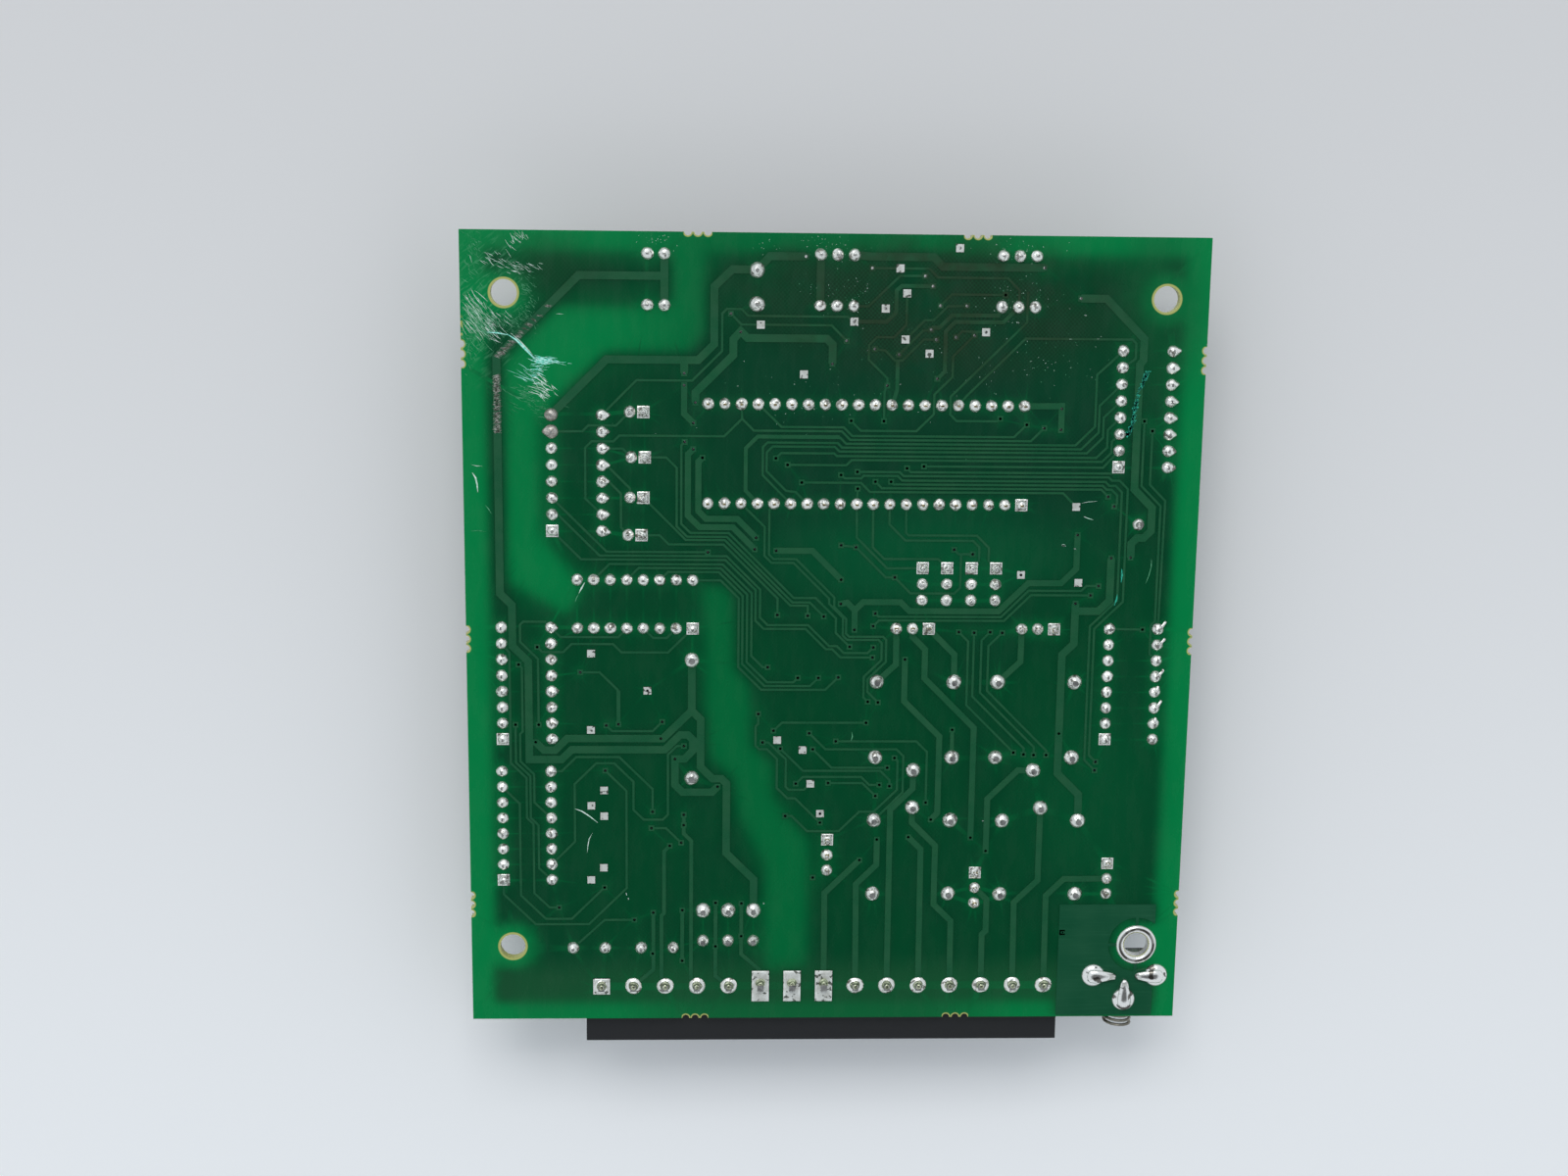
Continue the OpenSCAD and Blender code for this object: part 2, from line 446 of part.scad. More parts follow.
        [-30.8, -28.9], [-29.2, -30.5], [-26.2, -30.5], [-25.4, -29.7], [-25.4, -19.9], [-24, -18.5],
        [-22.9, -18.5]],
    [pin(chip_ml, 9), [-44.3, 1.3], [-47.7, 1.3], [-48.2, 0.8], [-48.2, -1.9], [-45.5, -4.6],
        [-45.5, -15.1]],
    [pin(chip_ml, 9), [-42, -1.1], [-33.1, -1.1], pin(chip_rw, 5)],
    [[-45.6, -2.7], [-44.8, -3.5], [-41.6, -3.5], [-40.3, -2.2], [-33.9, -2.2], [-32.6, -3.5],
        [-25.4, -3.5], pin(chip_rw, 1)],
    [pin(chip_rw, 4), [-27.7, -1.2], [-25.6, -1.2], pin(chip_rw, 2)],
    [[-39, -6.7], [-36, -6.7], [-33.1, -9.6]],
    [[-35, -15.2], [-34.1, -16.1], [-27.8, -16.1], [-26.3, -14.6]],
    [end(film_caps[0], -1), [-35.4, film_track_y], [-30.7, film_track_y]],
    [[-28, -31.9], [-25.7, -31.9], [-23.3, -34.3]],
    // middle, beside the relays
    [[-2.7, -19], [0.3, -22], [9.1, -22]],
    [[-3.3, -16.4], [-0.7, -19], [10.5, -19], [11.6, -20.1], [11.6, -26], coil(relays[2], -1)],
    [[0.9, -17.7], [13.6, -17.7], [15.3, -19.4], [15.3, -27.7]],
    [[-7.8, -18.9], [-4.2, -22.5], [8, -22.5], [9.5, -24], [9.5, -25]],
    [[-5.3, -24.6], [-4.2, -23.5], [5, -23.5], [6.3, -24.8], [7.9, -24.8]],
    [[-0.2, -24.5], [5.2, -24.5], [7.3, -26.6]],
    [[-6.9, -29.9], [-5.9, -29.9], [-3.4, -32.4], [1.6, -32.4], [4.8, -29.2], [7.1, -29.2],
        [10.7, -25.6], [10.7, -20.9], [10.2, -20.4]],
    [test_pads_at[12], [-4, -25.6], [-6.4, -25.6], [-6.9, -25.1], [-6.9, -20.6], [-7.9, -19.7],
        [-8.9, -18.7], [-9.7, -17.9], [-10.6, -17.9]],
    [[-1.4, -31], [-2.2, -30.2], [-5.4, -27], [-6.6, -27], [-8.3, -25.3], [-8.3, -20.6],
        [-9.9, -19], [-11.1, -19], [-11.7, -18.4], [-11.7, -15.3], [-11.3, -14.9], [-11.3, -13.3]],
    [[-8.9, -16], [-7.6, -14.7], [5.6, -14.7]]
];

vias_at = [
    [-23, 39.7], [-23, 37.9], [-21.6, 32.2], [-21.3, 35.3], [-14.5, 46], [-0.6, 41.3], [-16, 48.7],
    [1.5, 44.8], [-4.8, 57.3], [-22.9, 29.3], [-21.6, 28.2], [-20.2, 26.9], [-9, 26.9], [-7.2, 25.9],
    [-5, 23.2], [1, 24.4], [3.5, 24.9], [3.6, 22.3], [2.4, 32.7], [7.4, 32.7], [6.3, 23.4],
    [8.7, 23.4], [11.1, 25.5], [13.7, 25.8], [25.2, 33.2], [29.3, 32.3], [32, 31.8], [34.6, 34.8],
    [34.6, 31.6], [42.3, 21.3], [43.3, 19.8], [37.8, 15.3], [43.2, 11.7], [46.2, 11.8], [47.4, 33],
    [48.7, 31.5], [36.9, 51.5], [31.2, 56], [5.2, 55.7], [13.2, 54.6], [14.4, 53.1], [25.4, 51.9],
    [15.6, 50.2], [19.6, 50.2], [14.3, 46.6], [15.1, 45.1], [9.5, 42.8], [5.8, 43.6], [7.8, 38.1],
    [18.1, 45.5], [20.9, 45.8], [15.4, 39.2], [-11.9, 14.6], [-12.1, 12.8], [-8.8, 12.6], [1.3, 8.1],
    [1.2, 13.5], [3.5, 13.2], [-19.3, 12.3], [-8.5, 2.5], [-3.8, 2.4], [-1.3, 2.3], [1.3, 4.3],
    [3.5, 0.2], [6.7, 2.8], [6.4, 0.8], [2.8, -2.5], [6.5, -2.6], [6.4, -4.2], [9.6, 8.5],
    [18.7, 12.9], [21.6, 12.2], [41.4, 7.3], [40.2, 5.8], [37.9, 4.5], [48.6, 0.4], [19.8, -0.1],
    [22.2, -0.2], [24.7, -0.1], [26.6, -0.2], [29, -19.5], [30.6, -19.8], [32.2, -19.9],
    [34.2, -19.9], [36.1, -16.4], [42.1, -21], [42, -22.4], [11.5, -4.5], [5.8, -11.3], [7.4, -11.4],
    [-9.9, -5.8], [-5.2, -7.5], [-2, -7.5], [1.1, -7.4], [-11.3, -13.3], [-8.9, -16], [-10.6, -17.9],
    [-7.8, -18.9], [-3.3, -16.4], [-2.7, -19], [0.9, -17.7], [5.6, -14.7], [9.1, -22], [10.2, -20.4],
    [-5.3, -24.6], [-0.2, -24.5], [7.9, -24.8], [7.3, -26.6], [9.5, -25], [-6.9, -29.9],
    [-1.4, -31], [15.3, -27.7], [16.2, -30.5], [12.7, -33.4], [7.7, -33.8], [5, -37.2],
    [-2.4, -40.1], [19.2, -15.8], [22.6, -33.5], [25.1, -35.7], [-48.5, -5.5], [-49.1, -15.1],
    [-45.6, -2.7], [-45.5, -15.1], [-46, -17.9], [-39, -6.7], [-33.1, -15], [-35, -15.2],
    [-26.3, -14.6], [-26.5, -17.3], [-22.9, -18.5], [-24.3, -20.6], [-17.6, -25.1], [-35.2, -22.5],
    [-27.8, -29.2], [-28, -31.9], [-22.9, -29.7], [-22.9, -31.4], [-23.3, -34.3], [-25.1, -34.8],
    [-35.4, -41.7], [-42.6, -45], [-30.7, -47.1], [-27.7, -45.9], [-27.8, -52.8], [-23.1, -45.5],
    [-23.1, -54], [-17.8, -44.3], [-17.8, -51.6], [-13.7, -44.4], [-13.7, -49.9], [37.9, -49.4]
];

// ---- Derived sizes ----
plane_t = 0.05;
tin_t = 0.12;
depth = board_t + plane_t;
chip_drill = norm([blade_w, lead_t]) + 2 * drill_gap;
post_d = 1;
wire_small = 0.5;
wire_cap = 0.6;
wire_varistor = 0.8;
wire_resistor = 1;
transistor_wire = 0.45;
jumper_drill = norm([jumper_pin_w, jumper_pin_w]) + 2 * drill_gap;
relay_drill = relay_pin_d + 2 * drill_gap;
header_drill = norm([header_pin_w, header_pin_w]) + 2 * drill_gap;
transistor_drill = norm([transistor_wire, transistor_wire]) + 2 * drill_gap;
relay_tip = board_t + plane_t + lead_tip;

// Every round drilled pin hole as [positions, diameter]
chip_points = concat(pins(mcu), [for (d = chips, p = pins(d)) p], [for (d = optos, p = pins(d)) p]);
drillings = [
    [chip_points, chip_drill],
    [jumper_pins_at, jumper_drill],
    [transistor_pins_at, transistor_drill],
    [ends(concat(small_caps, film_caps)), wire_small + 2 * drill_gap],
    [[for (r = relays, p = relay_pins_of(r)) p], relay_drill],
    [ends([supply_cap]), wire_cap + 2 * drill_gap],
    [ends(varistors_at), wire_varistor + 2 * drill_gap],
    [concat(ends([resistor]), [post]), wire_resistor + 2 * drill_gap],
    [header_pins_at, header_drill]
];
small_round = concat(
    [for (d = concat([mcu], chips), n = [2:d[3]]) pin(d, n)], [for (d = optos, p = pins(d)) p],
    [for (j = jumpers, n = [2, 3]) jumper_pin(j, n)],
    [for (t = transistors_at, n = [2, 3]) transistor_pin(t, n)],
    [for (c = small_caps) end(c, -1)], [post]
);
small_square = concat(
    [for (d = concat([mcu], chips)) pin(d, 1)],
    [for (j = jumpers) jumper_pin(j, 1)], transistors_at, [for (c = small_caps) end(c, 1)]
);
big_round = concat(
    [for (r = relays, p = relay_pins_of(r)) p], ends([supply_cap, resistor]), ends(varistors_at),
    ends(film_caps)
);
earth_joint_d = 3.7;
slot_t = bracket_t + 2 * drill_gap;
slot_w = tab_w + 2 * drill_gap;

// ---- Flat shapes ----
function unit(v) = v / norm(v);
function left(v) = [-v[1], v[0]];
function mitre(p, i, w, s) =
    let (
        n = len(p) - 1,
        a = unit(i == 0 ? p[1] - p[0] : p[i] - p[i - 1]),
        b = unit(i == n ? p[n] - p[n - 1] : p[i + 1] - p[i]),
        m = left(unit(a + b))
    )
    p[i] + s * w / 2 / (m * left(a)) * m;

module strip(p, w) {
    n = len(p) - 1;
    polygon(concat(
        [for (i = [0:n]) mitre(p, i, w, 1)],
        [for (i = [n:-1:0]) mitre(p, i, w, -1)]
    ));
}

module at(list) {
    for (p = list) translate(p) children();
}

module laminate_2d() {
    translate([0, -board_drop]) square([board_w, board_h], center = true);
}

module holes_2d() {
    for (x = [-1, 1], y = [-1, 1])
        translate([x * hole_span_x / 2, y * hole_span_y / 2]) circle(d = hole_d);
}

// Rows of half perforations where the tabs were broken off
module bites_2d() {
    for (i = [-1:1]) {
        for (x = [-21, 21], s = [-1, 1])
            translate([x + i * bite_pitch, -board_drop + s * board_h / 2]) circle(d = bite_d);
        for (y = [42.3, -1.5, -44.5], s = [-1, 1])
            translate([s * board_w / 2, y + i * bite_pitch]) circle(d = bite_d);
    }
}

module drilled_2d() {
    for (group = drillings) at(group[0]) circle(d = group[1]);
    at(concat(vias_at, open_pads_at, [pour_hole])) circle(d = via_d);
    for (t = earth_tabs) translate(t[0]) rotate(t[1]) square([slot_t, slot_w], center = true);
}

module pads_2d() {
    at(small_round) circle(d = joint_d);
    at(small_square) square(square_pad_w, center = true);
    at(big_round) circle(d = big_joint_d);
    for (k = [2:header_ways]) translate(way(k)) circle(d = header_joint_d);
    translate(way(1)) square(header_joint_d, center = true);
    for (k = tall_ways) translate(way(k)) square(tall_pad, center = true);
    at(concat(test_pads_at, open_pads_at)) square(test_pad_w, center = true);
}

// ---- Board ----
module board() {
    color([0.13, 0.3, 0.2]) translate([0, 0, -board_t]) linear_extrude(board_t) difference() {
        laminate_2d();
        holes_2d();
        bites_2d();
        drilled_2d();
    }
}

module tracks() {
    color([0.23, 0.42, 0.27]) linear_extrude(copper_t) difference() {
        union() {
            for (t = w_tracks) strip(t, wide_w);
            for (t = r_tracks) strip(t, relay_w);
            for (t = m_tracks) strip(t, mid_w);
            for (t = t_tracks) strip(t, thin_w);
            at(vias_at) square(via_w, center = true);
        }
        pads_2d();
        at(vias_at) circle(d = via_d);
    }
}

// Earth plane round the contact, with spokes to the tinned ring
pour_low = [37.35, board_low + 0.3];
pour_high = [52.9, -44.7];
pour_hole = [38.1, -49.4];
earth_hole = [hole_span_x / 2, -hole_span_y / 2];
spoke_w = 0.5;
module chassis_pour() {
    color([0.27, 0.45, 0.3]) linear_extrude(copper_t) difference() {
        translate(pour_low) square(pour_high - pour_low);
        difference() {
            translate(earth_hole) circle(d = earth_ring_d + 2 * ring_gap);
            translate(earth_hole) square([spoke_w, 20], center = true);
            translate(earth_hole) square([20, spoke_w], center = true);
        }
        translate(earth_hole) circle(d = earth_ring_d);
        translate(pour_hole) circle(d = via_d);
        for (t = earth_tabs) translate(t[0]) circle(d = earth_joint_d);
    }
}

module earth_ring() {
    color([0.78, 0.79, 0.76]) translate(earth_hole) linear_extrude(tin_t) difference() {
        circle(d = earth_ring_d);
        circle(d = hole_d);
    }
}

module test_pads() {
    color([0.75, 0.76, 0.72]) linear_extrude(tin_t) {
        at(test_pads_at) square(test_pad_w, center = true);
        at(open_pads_at) difference() {
            square(test_pad_w, center = true);
            circle(d = via_d);
        }
    }
}

// Copper plane on the component side; two bare channels separate the mains circuits
channel_1 = [
    [-24.6, 61], [-19.9, 61], [-19.9, 46], [-22.3, 42.9], [-34.6, 42.9], [-45.2, 33], [-45.2, 15],
    [-41, 9.7], [-38.8, 6], [-41, 2.5], [-49.5, 7.5], [-49.9, 10], [-49.9, 41], [-47, 44.5],
    [-42, 49.3], [-25.5, 49.3], [-24.6, 50.2]
];
channel_2 = [
    [-20.3, 7.2], [-19.5, 0], [-19.4, -11], [-18.9, -20], [-15, -23.5], [-14, -30], [-10, -37.5],
    [-9.8, -56], [-3.4, -55], [-3.4, -34], [-4.5, -32.5], [-9, -27], [-9.2, -21.5], [-12.6, -18.5],
    [-12.8, -9], [-15.3, -6], [-15.3, 5.8], [-16.5, 7.2]
];
module component_plane() {
    color([0.16, 0.34, 0.23]) translate([0, 0, -depth]) linear_extrude(plane_t) difference() {
        translate([0, -board_drop])
            square([board_w - 2 * plane_rim, board_h - 2 * plane_rim + 1.5], center = true);
        polygon(channel_1);
        polygon(channel_2);
        for (x = [-1, 1], y = [-1, 1])
            translate([x * hole_span_x / 2, y * hole_span_y / 2]) circle(d = earth_ring_d + 1);
        for (group = drillings) at(group[0]) circle(d = group[1] + 2 * plane_gap);
        at(concat(vias_at, open_pads_at, [pour_hole])) circle(d = via_d + 2 * plane_gap);
        for (t = earth_tabs) translate(t[0]) circle(d = earth_joint_d);
    }
}

// ---- Solder joints: a cone of solder over the pad and a barrel through the board ----
module joint(d, h, drill) {
    translate([0, 0, -board_t]) rotate_extrude() polygon([
        [0, 0], [drill / 2, 0], [drill / 2, board_t], [d / 2, board_t], [d / 2, board_t + copper_t],
        [0.42 * d, board_t + 0.35 * h], [0.3 * d, board_t + 0.72 * h], [0.17 * d, board_t + h],
        [0, board_t + h]
    ]);
}

module small_pad() {
    linear_extrude(tin_t) square(square_pad_w, center = true);
}

module hole_through(w, t) {
    cube([w, t, 8], center = true);
}

module chip_joints(d, square_first = true) {
    for (n = [1:d[3]]) translate(pin(d, n)) rotate(d[2]) difference() {
        union() {
            joint(joint_d, joint_h, chip_drill);
            if (n == 1 && square_first) small_pad();
        }
        hole_through(blade_w, lead_t);
    }
}

module solder_chips() {
    color([0.72, 0.74, 0.74]) {
        for (d = concat([mcu], chips)) chip_joints(d);
        for (d = optos) chip_joints(d, false);
    }
}

module solder_small() {
    color([0.72, 0.74, 0.74]) {
        for (j = jumpers, n = [1:3]) translate(jumper_pin(j, n)) difference() {
            union() {
                joint(joint_d, joint_h, jumper_drill);
                if (n == 1) small_pad();
            }
            hole_through(jumper_pin_w, jumper_pin_w);
        }
        for (t = transistors_at, n = [1:3]) translate(transistor_pin(t, n)) difference() {
            union() {
                joint(joint_d, joint_h, transistor_drill);
                if (n == 1) small_pad();
            }
            hole_through(transistor_wire, transistor_wire);
        }
        for (c = small_caps, s = [-1, 1]) translate(end(c, s)) difference() {
            union() {
                joint(joint_d, joint_h, wire_small + 2 * drill_gap);
                if (s == 1) small_pad();
            }
            cylinder(d = wire_small, h = 8, center = true);
        }
        translate(post) difference() {
            joint(joint_d, joint_h, wire_resistor + 2 * drill_gap);
            cylinder(d = post_d, h = 8, center = true);
        }
    }
}

module round_joint(d, h, wire) {
    difference() {
        joint(d, h, wire + 2 * drill_gap);
        cylinder(d = wire, h = 8, center = true);
    }
}

module solder_power() {
    color([0.72, 0.74, 0.74]) {
        for (r = relays) at(relay_pins_of(r)) round_joint(big_joint_d, big_joint_h, relay_pin_d);
        at(ends([supply_cap])) round_joint(big_joint_d, big_joint_h, wire_cap);
        at(ends([resistor])) round_joint(big_joint_d, big_joint_h, wire_resistor);
        at(ends(varistors_at)) round_joint(big_joint_d, big_joint_h, wire_varistor);
        at(ends(film_caps)) round_joint(big_joint_d, joint_h, wire_small);
    }
}

module solder_header() {
    color([0.72, 0.74, 0.74]) for (k = [1:header_ways]) translate(way(k)) difference() {
        union() {
            joint(header_joint_d, big_joint_h, header_drill);
            if (k == 1) linear_extrude(tin_t) square(header_joint_d, center = true);
            if (len(search(k, tall_ways)) > 0) linear_extrude(tin_t) square(tall_pad, center = true);
        }
        hole_through(header_pin_w, header_pin_w);
    }
}

// ---- Everything below hangs under the board, modelled as if it stood on it ----
module under() {
    translate([0, 0, -depth]) mirror([0, 0, 1]) children();
}

module placed(d) {
    translate(middle(d)) rotate(d[2]) children();
}

// A bent sheet lead: its side view in Y and Z, w wide along X
module bent_lead(p, w, t) {
    translate([-w / 2, 0, 0]) rotate([90, 0, 90]) linear_extrude(w) strip(p, t);
}

module dual_body(n, w, h, gap, over) {
    l = (n / 2 - 1) * pitch + 2 * over;
    belt = 0.25;
    slope = 0.3;
    difference() {
        translate([-l / 2, 0, gap]) rotate([90, 0, 90]) linear_extrude(l) polygon([
            [slope - w / 2, 0], [w / 2 - slope, 0], [w / 2, h / 2 - belt], [w / 2, h / 2 + belt],
            [w / 2 - slope, h], [slope - w / 2, h], [-w / 2, h / 2 + belt], [-w / 2, h / 2 - belt]
        ]);
        translate([l / 2, 0, gap + h - 0.5]) cylinder(r = 1, h = 1);
        translate([l / 2 - 1.7, 1.3 - w / 2, gap + h - 0.15]) cylinder(d = 1, h = 1);
    }
}

module dual_lead(n, w, row, h, seat, foot) {
    for (i = [0:n / 2 - 1], s = [0, 1])
        translate([(i - (n / 2 - 1) / 2) * pitch, 0, 0]) rotate(180 * s) {
            bent_lead([[w / 2, h], [row / 2, h], [row / 2, seat]], shoulder_w, lead_t);
            translate([-blade_w / 2, row / 2 - lead_t / 2, foot]) cube([blade_w, lead_t, seat - foot]);
        }
}

module chip(d) {
    color([0.12, 0.12, 0.13]) under() placed(d)
        dual_body(d[3], chip_w, chip_h, chip_standoff, chip_end);
}

module chip_leads(d) {
    color([0.7, 0.7, 0.68]) under() placed(d)
        dual_lead(d[3], chip_w, d[4], chip_standoff + chip_h / 2, 0, -depth - lead_tip);
}

module chip_top_left() { chip(chip_tl); }
module chip_top_left_leads() { chip_leads(chip_tl); }
module chip_top_right() { chip(chip_tr); }
module chip_top_right_leads() { chip_leads(chip_tr); }
module chip_middle_left() { chip(chip_ml); }
module chip_middle_left_leads() { chip_leads(chip_ml); }
module chip_bottom_left() { chip(chip_bl); }
module chip_bottom_left_leads() { chip_leads(chip_bl); }
module chip_right() { chip(chip_rt); }
module chip_right_leads() { chip_leads(chip_rt); }
module chip_row() { chip(chip_rw); }
module chip_row_leads() { chip_leads(chip_rw); }
module optocoupler_1() { chip(opto_1); }
module optocoupler_2() { chip(opto_2); }
module optocoupler_3() { chip(opto_3); }
module optocoupler_leads() { for (d = optos) chip_leads(d); }

// ---- Microcontroller in its socket ----
mcu_end = 1.9;
contact_w = 1.1;
contact_t = 0.7;
contact_h = 1.2;
socket_l = mcu[3] / 2 * pitch;
socket_bar = 4;
module microcontroller() {
    color([0.12, 0.12, 0.13]) under() placed(mcu) translate([0, 0, socket_h])
        dual_body(mcu[3], mcu_w, mcu_h, 0.3, mcu_end);
}

module microcontroller_leads() {
    color([0.7, 0.7, 0.68]) under() placed(mcu)
        dual_lead(mcu[3], mcu_w, mcu[4], socket_h + 0.3 + mcu_h / 2, socket_h, contact_h);
}

module mcu_socket() {
    color([0.15, 0.15, 0.16]) under() placed(mcu) {
        linear_extrude(socket_h) difference() {
            square([socket_l, row_wide + rail_w], center = true);
            for (x = [-1, 1]) translate([x * socket_l / 4, 0])
                square([socket_l / 2 - socket_bar, row_wide - rail_w], center = true);
            for (i = [-9.5:9.5], s = [-1, 1]) translate([i * pitch, s * row_wide / 2])
                square([contact_w, contact_t], center = true);
        }
    }
}

module mcu_socket_contacts() {
    color([0.72, 0.7, 0.62]) under() placed(mcu)
        for (i = [-9.5:9.5], s = [-1, 1]) translate([i * pitch, s * row_wide / 2, 0]) {
            translate([-contact_w / 2, -contact_t / 2, 0]) cube([contact_w, contact_t, contact_h]);
            translate([-blade_w / 2, -lead_t / 2, -depth - lead_tip])
                cube([blade_w, lead_t, depth + lead_tip]);
        }
}

// ---- Relays ----
relay_wall = 0.8;
relay_base_h = 3;
module relay_2d(inset) {
    w = relay_case_w / 2 - inset;
    l = relay_case_l / 2 - inset;
    r = 1 - inset / 2;
    square([2 * w, 2 * (l - r)], center = true);
    square([2 * (w - r), 2 * l], center = true);
    for (x = [-1, 1], y = [-1, 1]) translate([x * (w - r), y * (l - r)]) circle(r);
}

module on_relay(r) {
    translate([r[0], r[1] + r[2] * (relay_case_l / 2 - relay_back), relay_gap]) children();
}

module relay_case(r) {
    color([0.1, 0.22, 0.48]) under() on_relay(r) difference() {
        linear_extrude(relay_case_h) relay_2d(0);
        translate([0, 0, -1]) linear_extrude(relay_case_h - relay_wall + 1) relay_2d(relay_wall);
        translate([relay_case_w / 2 - 2, relay_case_l / 2 - 2, relay_case_h - 2])
            cylinder(d = 0.8, h = 3);
    }
}

module relay_1() { relay_case(relays[0]); }
module relay_2() { relay_case(relays[1]); }
module relay_3() { relay_case(relays[2]); }
module relay_4() { relay_case(relays[3]); }

module relay_bases() {
    color([0.1, 0.1, 0.11]) under() for (r = relays) difference() {
        on_relay(r) {
            linear_extrude(relay_base_h) relay_2d(relay_wall);
            for (x = [-1, 1], y = [-1, 1]) translate([4 * x, 5.5 * y, -relay_gap])
                cylinder(d = 1.2, h = relay_gap + eps);
        }
        at(relay_pins_of(r)) translate([0, 0, -1]) cylinder(d = relay_pin_d, h = relay_base_h + 3);
    }
}

module relay_pins() {
    color([0.7, 0.7, 0.68]) under() for (r = relays) at(relay_pins_of(r))
        translate([0, 0, -relay_tip])
            cylinder(d = relay_pin_d, h = relay_tip + relay_gap + relay_base_h);
}

// ---- Plug-in header: a moulded trough with right-angle pins through its back wall ----
header_y0 = header_y - 1.2;
header_back_t = 2.4;
header_open_y = header_y - header_front;
key_w = 0.9;
module header_housing() {
    inside_h = header_h - 2 * header_wall;
    cavity_l = header_len - 2 * header_wall;
    color([0.11, 0.11, 0.12]) under() translate([header_x, 0, 0]) difference() {
        union() {
            translate([-header_len / 2, header_open_y, 0])
                cube([header_len, header_y0 - header_open_y, header_h]);
            // comb behind the wall that holds the bent pins apart
            for (k = [0:header_ways]) translate([(k - header_ways / 2) * header_pitch, 0, 0])
                intersection() {
                    translate([-0.8, header_y0 - eps, 0]) cube([1.6, 2.6, header_pin_z + 2.5]);
                    translate([-k * header_pitch, header_y0 - 1, 0]) cube([header_len, 5, header_h]);
                }
        }
        // trough, open at the front
        translate([-cavity_l / 2, header_open_y - 1, header_wall])
            cube([cavity_l, header_y0 - header_back_t - header_open_y + 1, inside_h]);
        // keyways in the outer lip
        for (k = [1:header_ways], s = [-1, 1])
            translate([(k - (header_ways + 1) / 2) * header_pitch + s * 1.1 - key_w / 2,
                header_open_y - 1, header_h - header_wall - 0.5])
                cube([key_w, 5, 0.6]);
        for (k = [1:header_ways])
            translate([(k - (header_ways + 1) / 2) * header_pitch - header_pin_w / 2, header_open_y,
                header_pin_z - header_pin_w / 2])
                cube([header_pin_w, 20, header_pin_w]);
    }
}

module header_pins() {
    color([0.72, 0.72, 0.7]) under() for (k = [1:header_ways]) translate([way(k)[0], 0, 0])
        bent_lead([[header_open_y + 1.6, header_pin_z], [header_y, header_pin_z],
            [header_y, -depth - lead_tip]], header_pin_w, header_pin_w);
}

// ---- Capacitors ----
bung_h = 1.2;
crimp = 0.35;
cap_gap = 0.3;
// [centre, direction, spacing, diameter, height over the sleeve, wire]
cans = concat([concat(supply_cap, [supply_cap_d, supply_cap_h, wire_cap])],
    [for (c = small_caps) concat(c, [small_cap_d, small_cap_h, wire_small])]);
module on_can(c) {
    translate([c[0][0], c[0][1], cap_gap]) children();
}

module capacitor_cans() {
    color([0.8, 0.8, 0.8]) under() for (c = cans) on_can(c) {
        r = c[3] / 2 - sleeve_t;
        h = c[4] - sleeve_t;
        rotate_extrude() polygon([
            [0, bung_h], [r - crimp, bung_h], [r - crimp, 0], [r, 0], [r, bung_h + 0.2],
            [r - crimp / 2, bung_h + 0.5], [r, bung_h + 0.8], [r, h], [0, h]
        ]);
    }
}

module capacitor_sleeves() {
    color([0.1, 0.12, 0.2]) under() for (c = cans) on_can(c) {
        r = c[3] / 2 - sleeve_t;
        h = c[4] - sleeve_t;
        s = sleeve_t;
        lip = r * 0.2;
        rotate_extrude() polygon([
            [r, 0], [r + s, 0], [r + s, bung_h + 0.2], [r + s - crimp / 2, bung_h + 0.5],
            [r + s, bung_h + 0.8], [r + s, h + s], [r - lip, h + s], [r - lip, h], [r, h],
            [r, bung_h + 0.8], [r - crimp / 2, bung_h + 0.5], [r, bung_h + 0.2]
        ]);
    }
}

module capacitor_bungs() {
    color([0.08, 0.08, 0.08]) under() for (c = cans) difference() {
        on_can(c) cylinder(r = c[3] / 2 - sleeve_t - crimp, h = bung_h);
        for (s = [-1, 1]) translate(end(c, s)) cylinder(d = c[5], h = 4);
    }
}

module capacitor_leads() {
    color([0.7, 0.7, 0.68]) under() for (c = cans, s = [-1, 1]) translate(end(c, s))
        translate([0, 0, -depth - lead_tip])
            cylinder(d = c[5], h = depth + lead_tip + cap_gap + bung_h);
}

// ---- Transistors ----
transistor_gap = 2.6;
module transistors() {
    color([0.11, 0.11, 0.12]) under() for (t = transistors_at) translate(transistor_pin(t, 2))
        translate([0.5, 0, transistor_gap]) linear_extrude(transistor_h) intersection() {
            circle(d = transistor_d);
            translate([transistor_d / 2 - transistor_t, -transistor_d])
                square([transistor_t, 2 * transistor_d]);
        }
}

module transistor_leads() {
    color([0.7, 0.7, 0.68]) under() for (t = transistors_at) translate(transistor_pin(t, 2)) {
        for (s = [-1, 1]) bent_lead([[s * pitch, -depth - lead_tip], [s * pitch, 0.4],
            [s * pitch / 2, 1.9], [s * pitch / 2, transistor_gap]], transistor_wire, transistor_wire);
        translate([-transistor_wire / 2, -transistor_wire / 2, -depth - lead_tip])
            cube([transistor_wire, transistor_wire, depth + lead_tip + transistor_gap]);
    }
}

// ---- Jumpers ----
strip_w = 2.5;
strip_h = 2.5;
link_gap = 0.1;
link_w = 2.4;
module along(j) {
    translate(jumper_pin(j, 2)) rotate(j[2][0] == 0 ? 90 : 0) children();
}

module jumper_strips() {
    color([0.1, 0.1, 0.11]) under() for (j = jumpers) along(j) linear_extrude(strip_h) difference() {
        square([3 * pitch, strip_w], center = true);
        for (i = [-1:1]) translate([i * pitch, 0]) square(jumper_pin_w, center = true);
        for (i = [-1, 1], s = [-1, 1]) translate([i * pitch / 2, s * strip_w / 2]) rotate(45)
            square(0.5, center = true);
    }
}

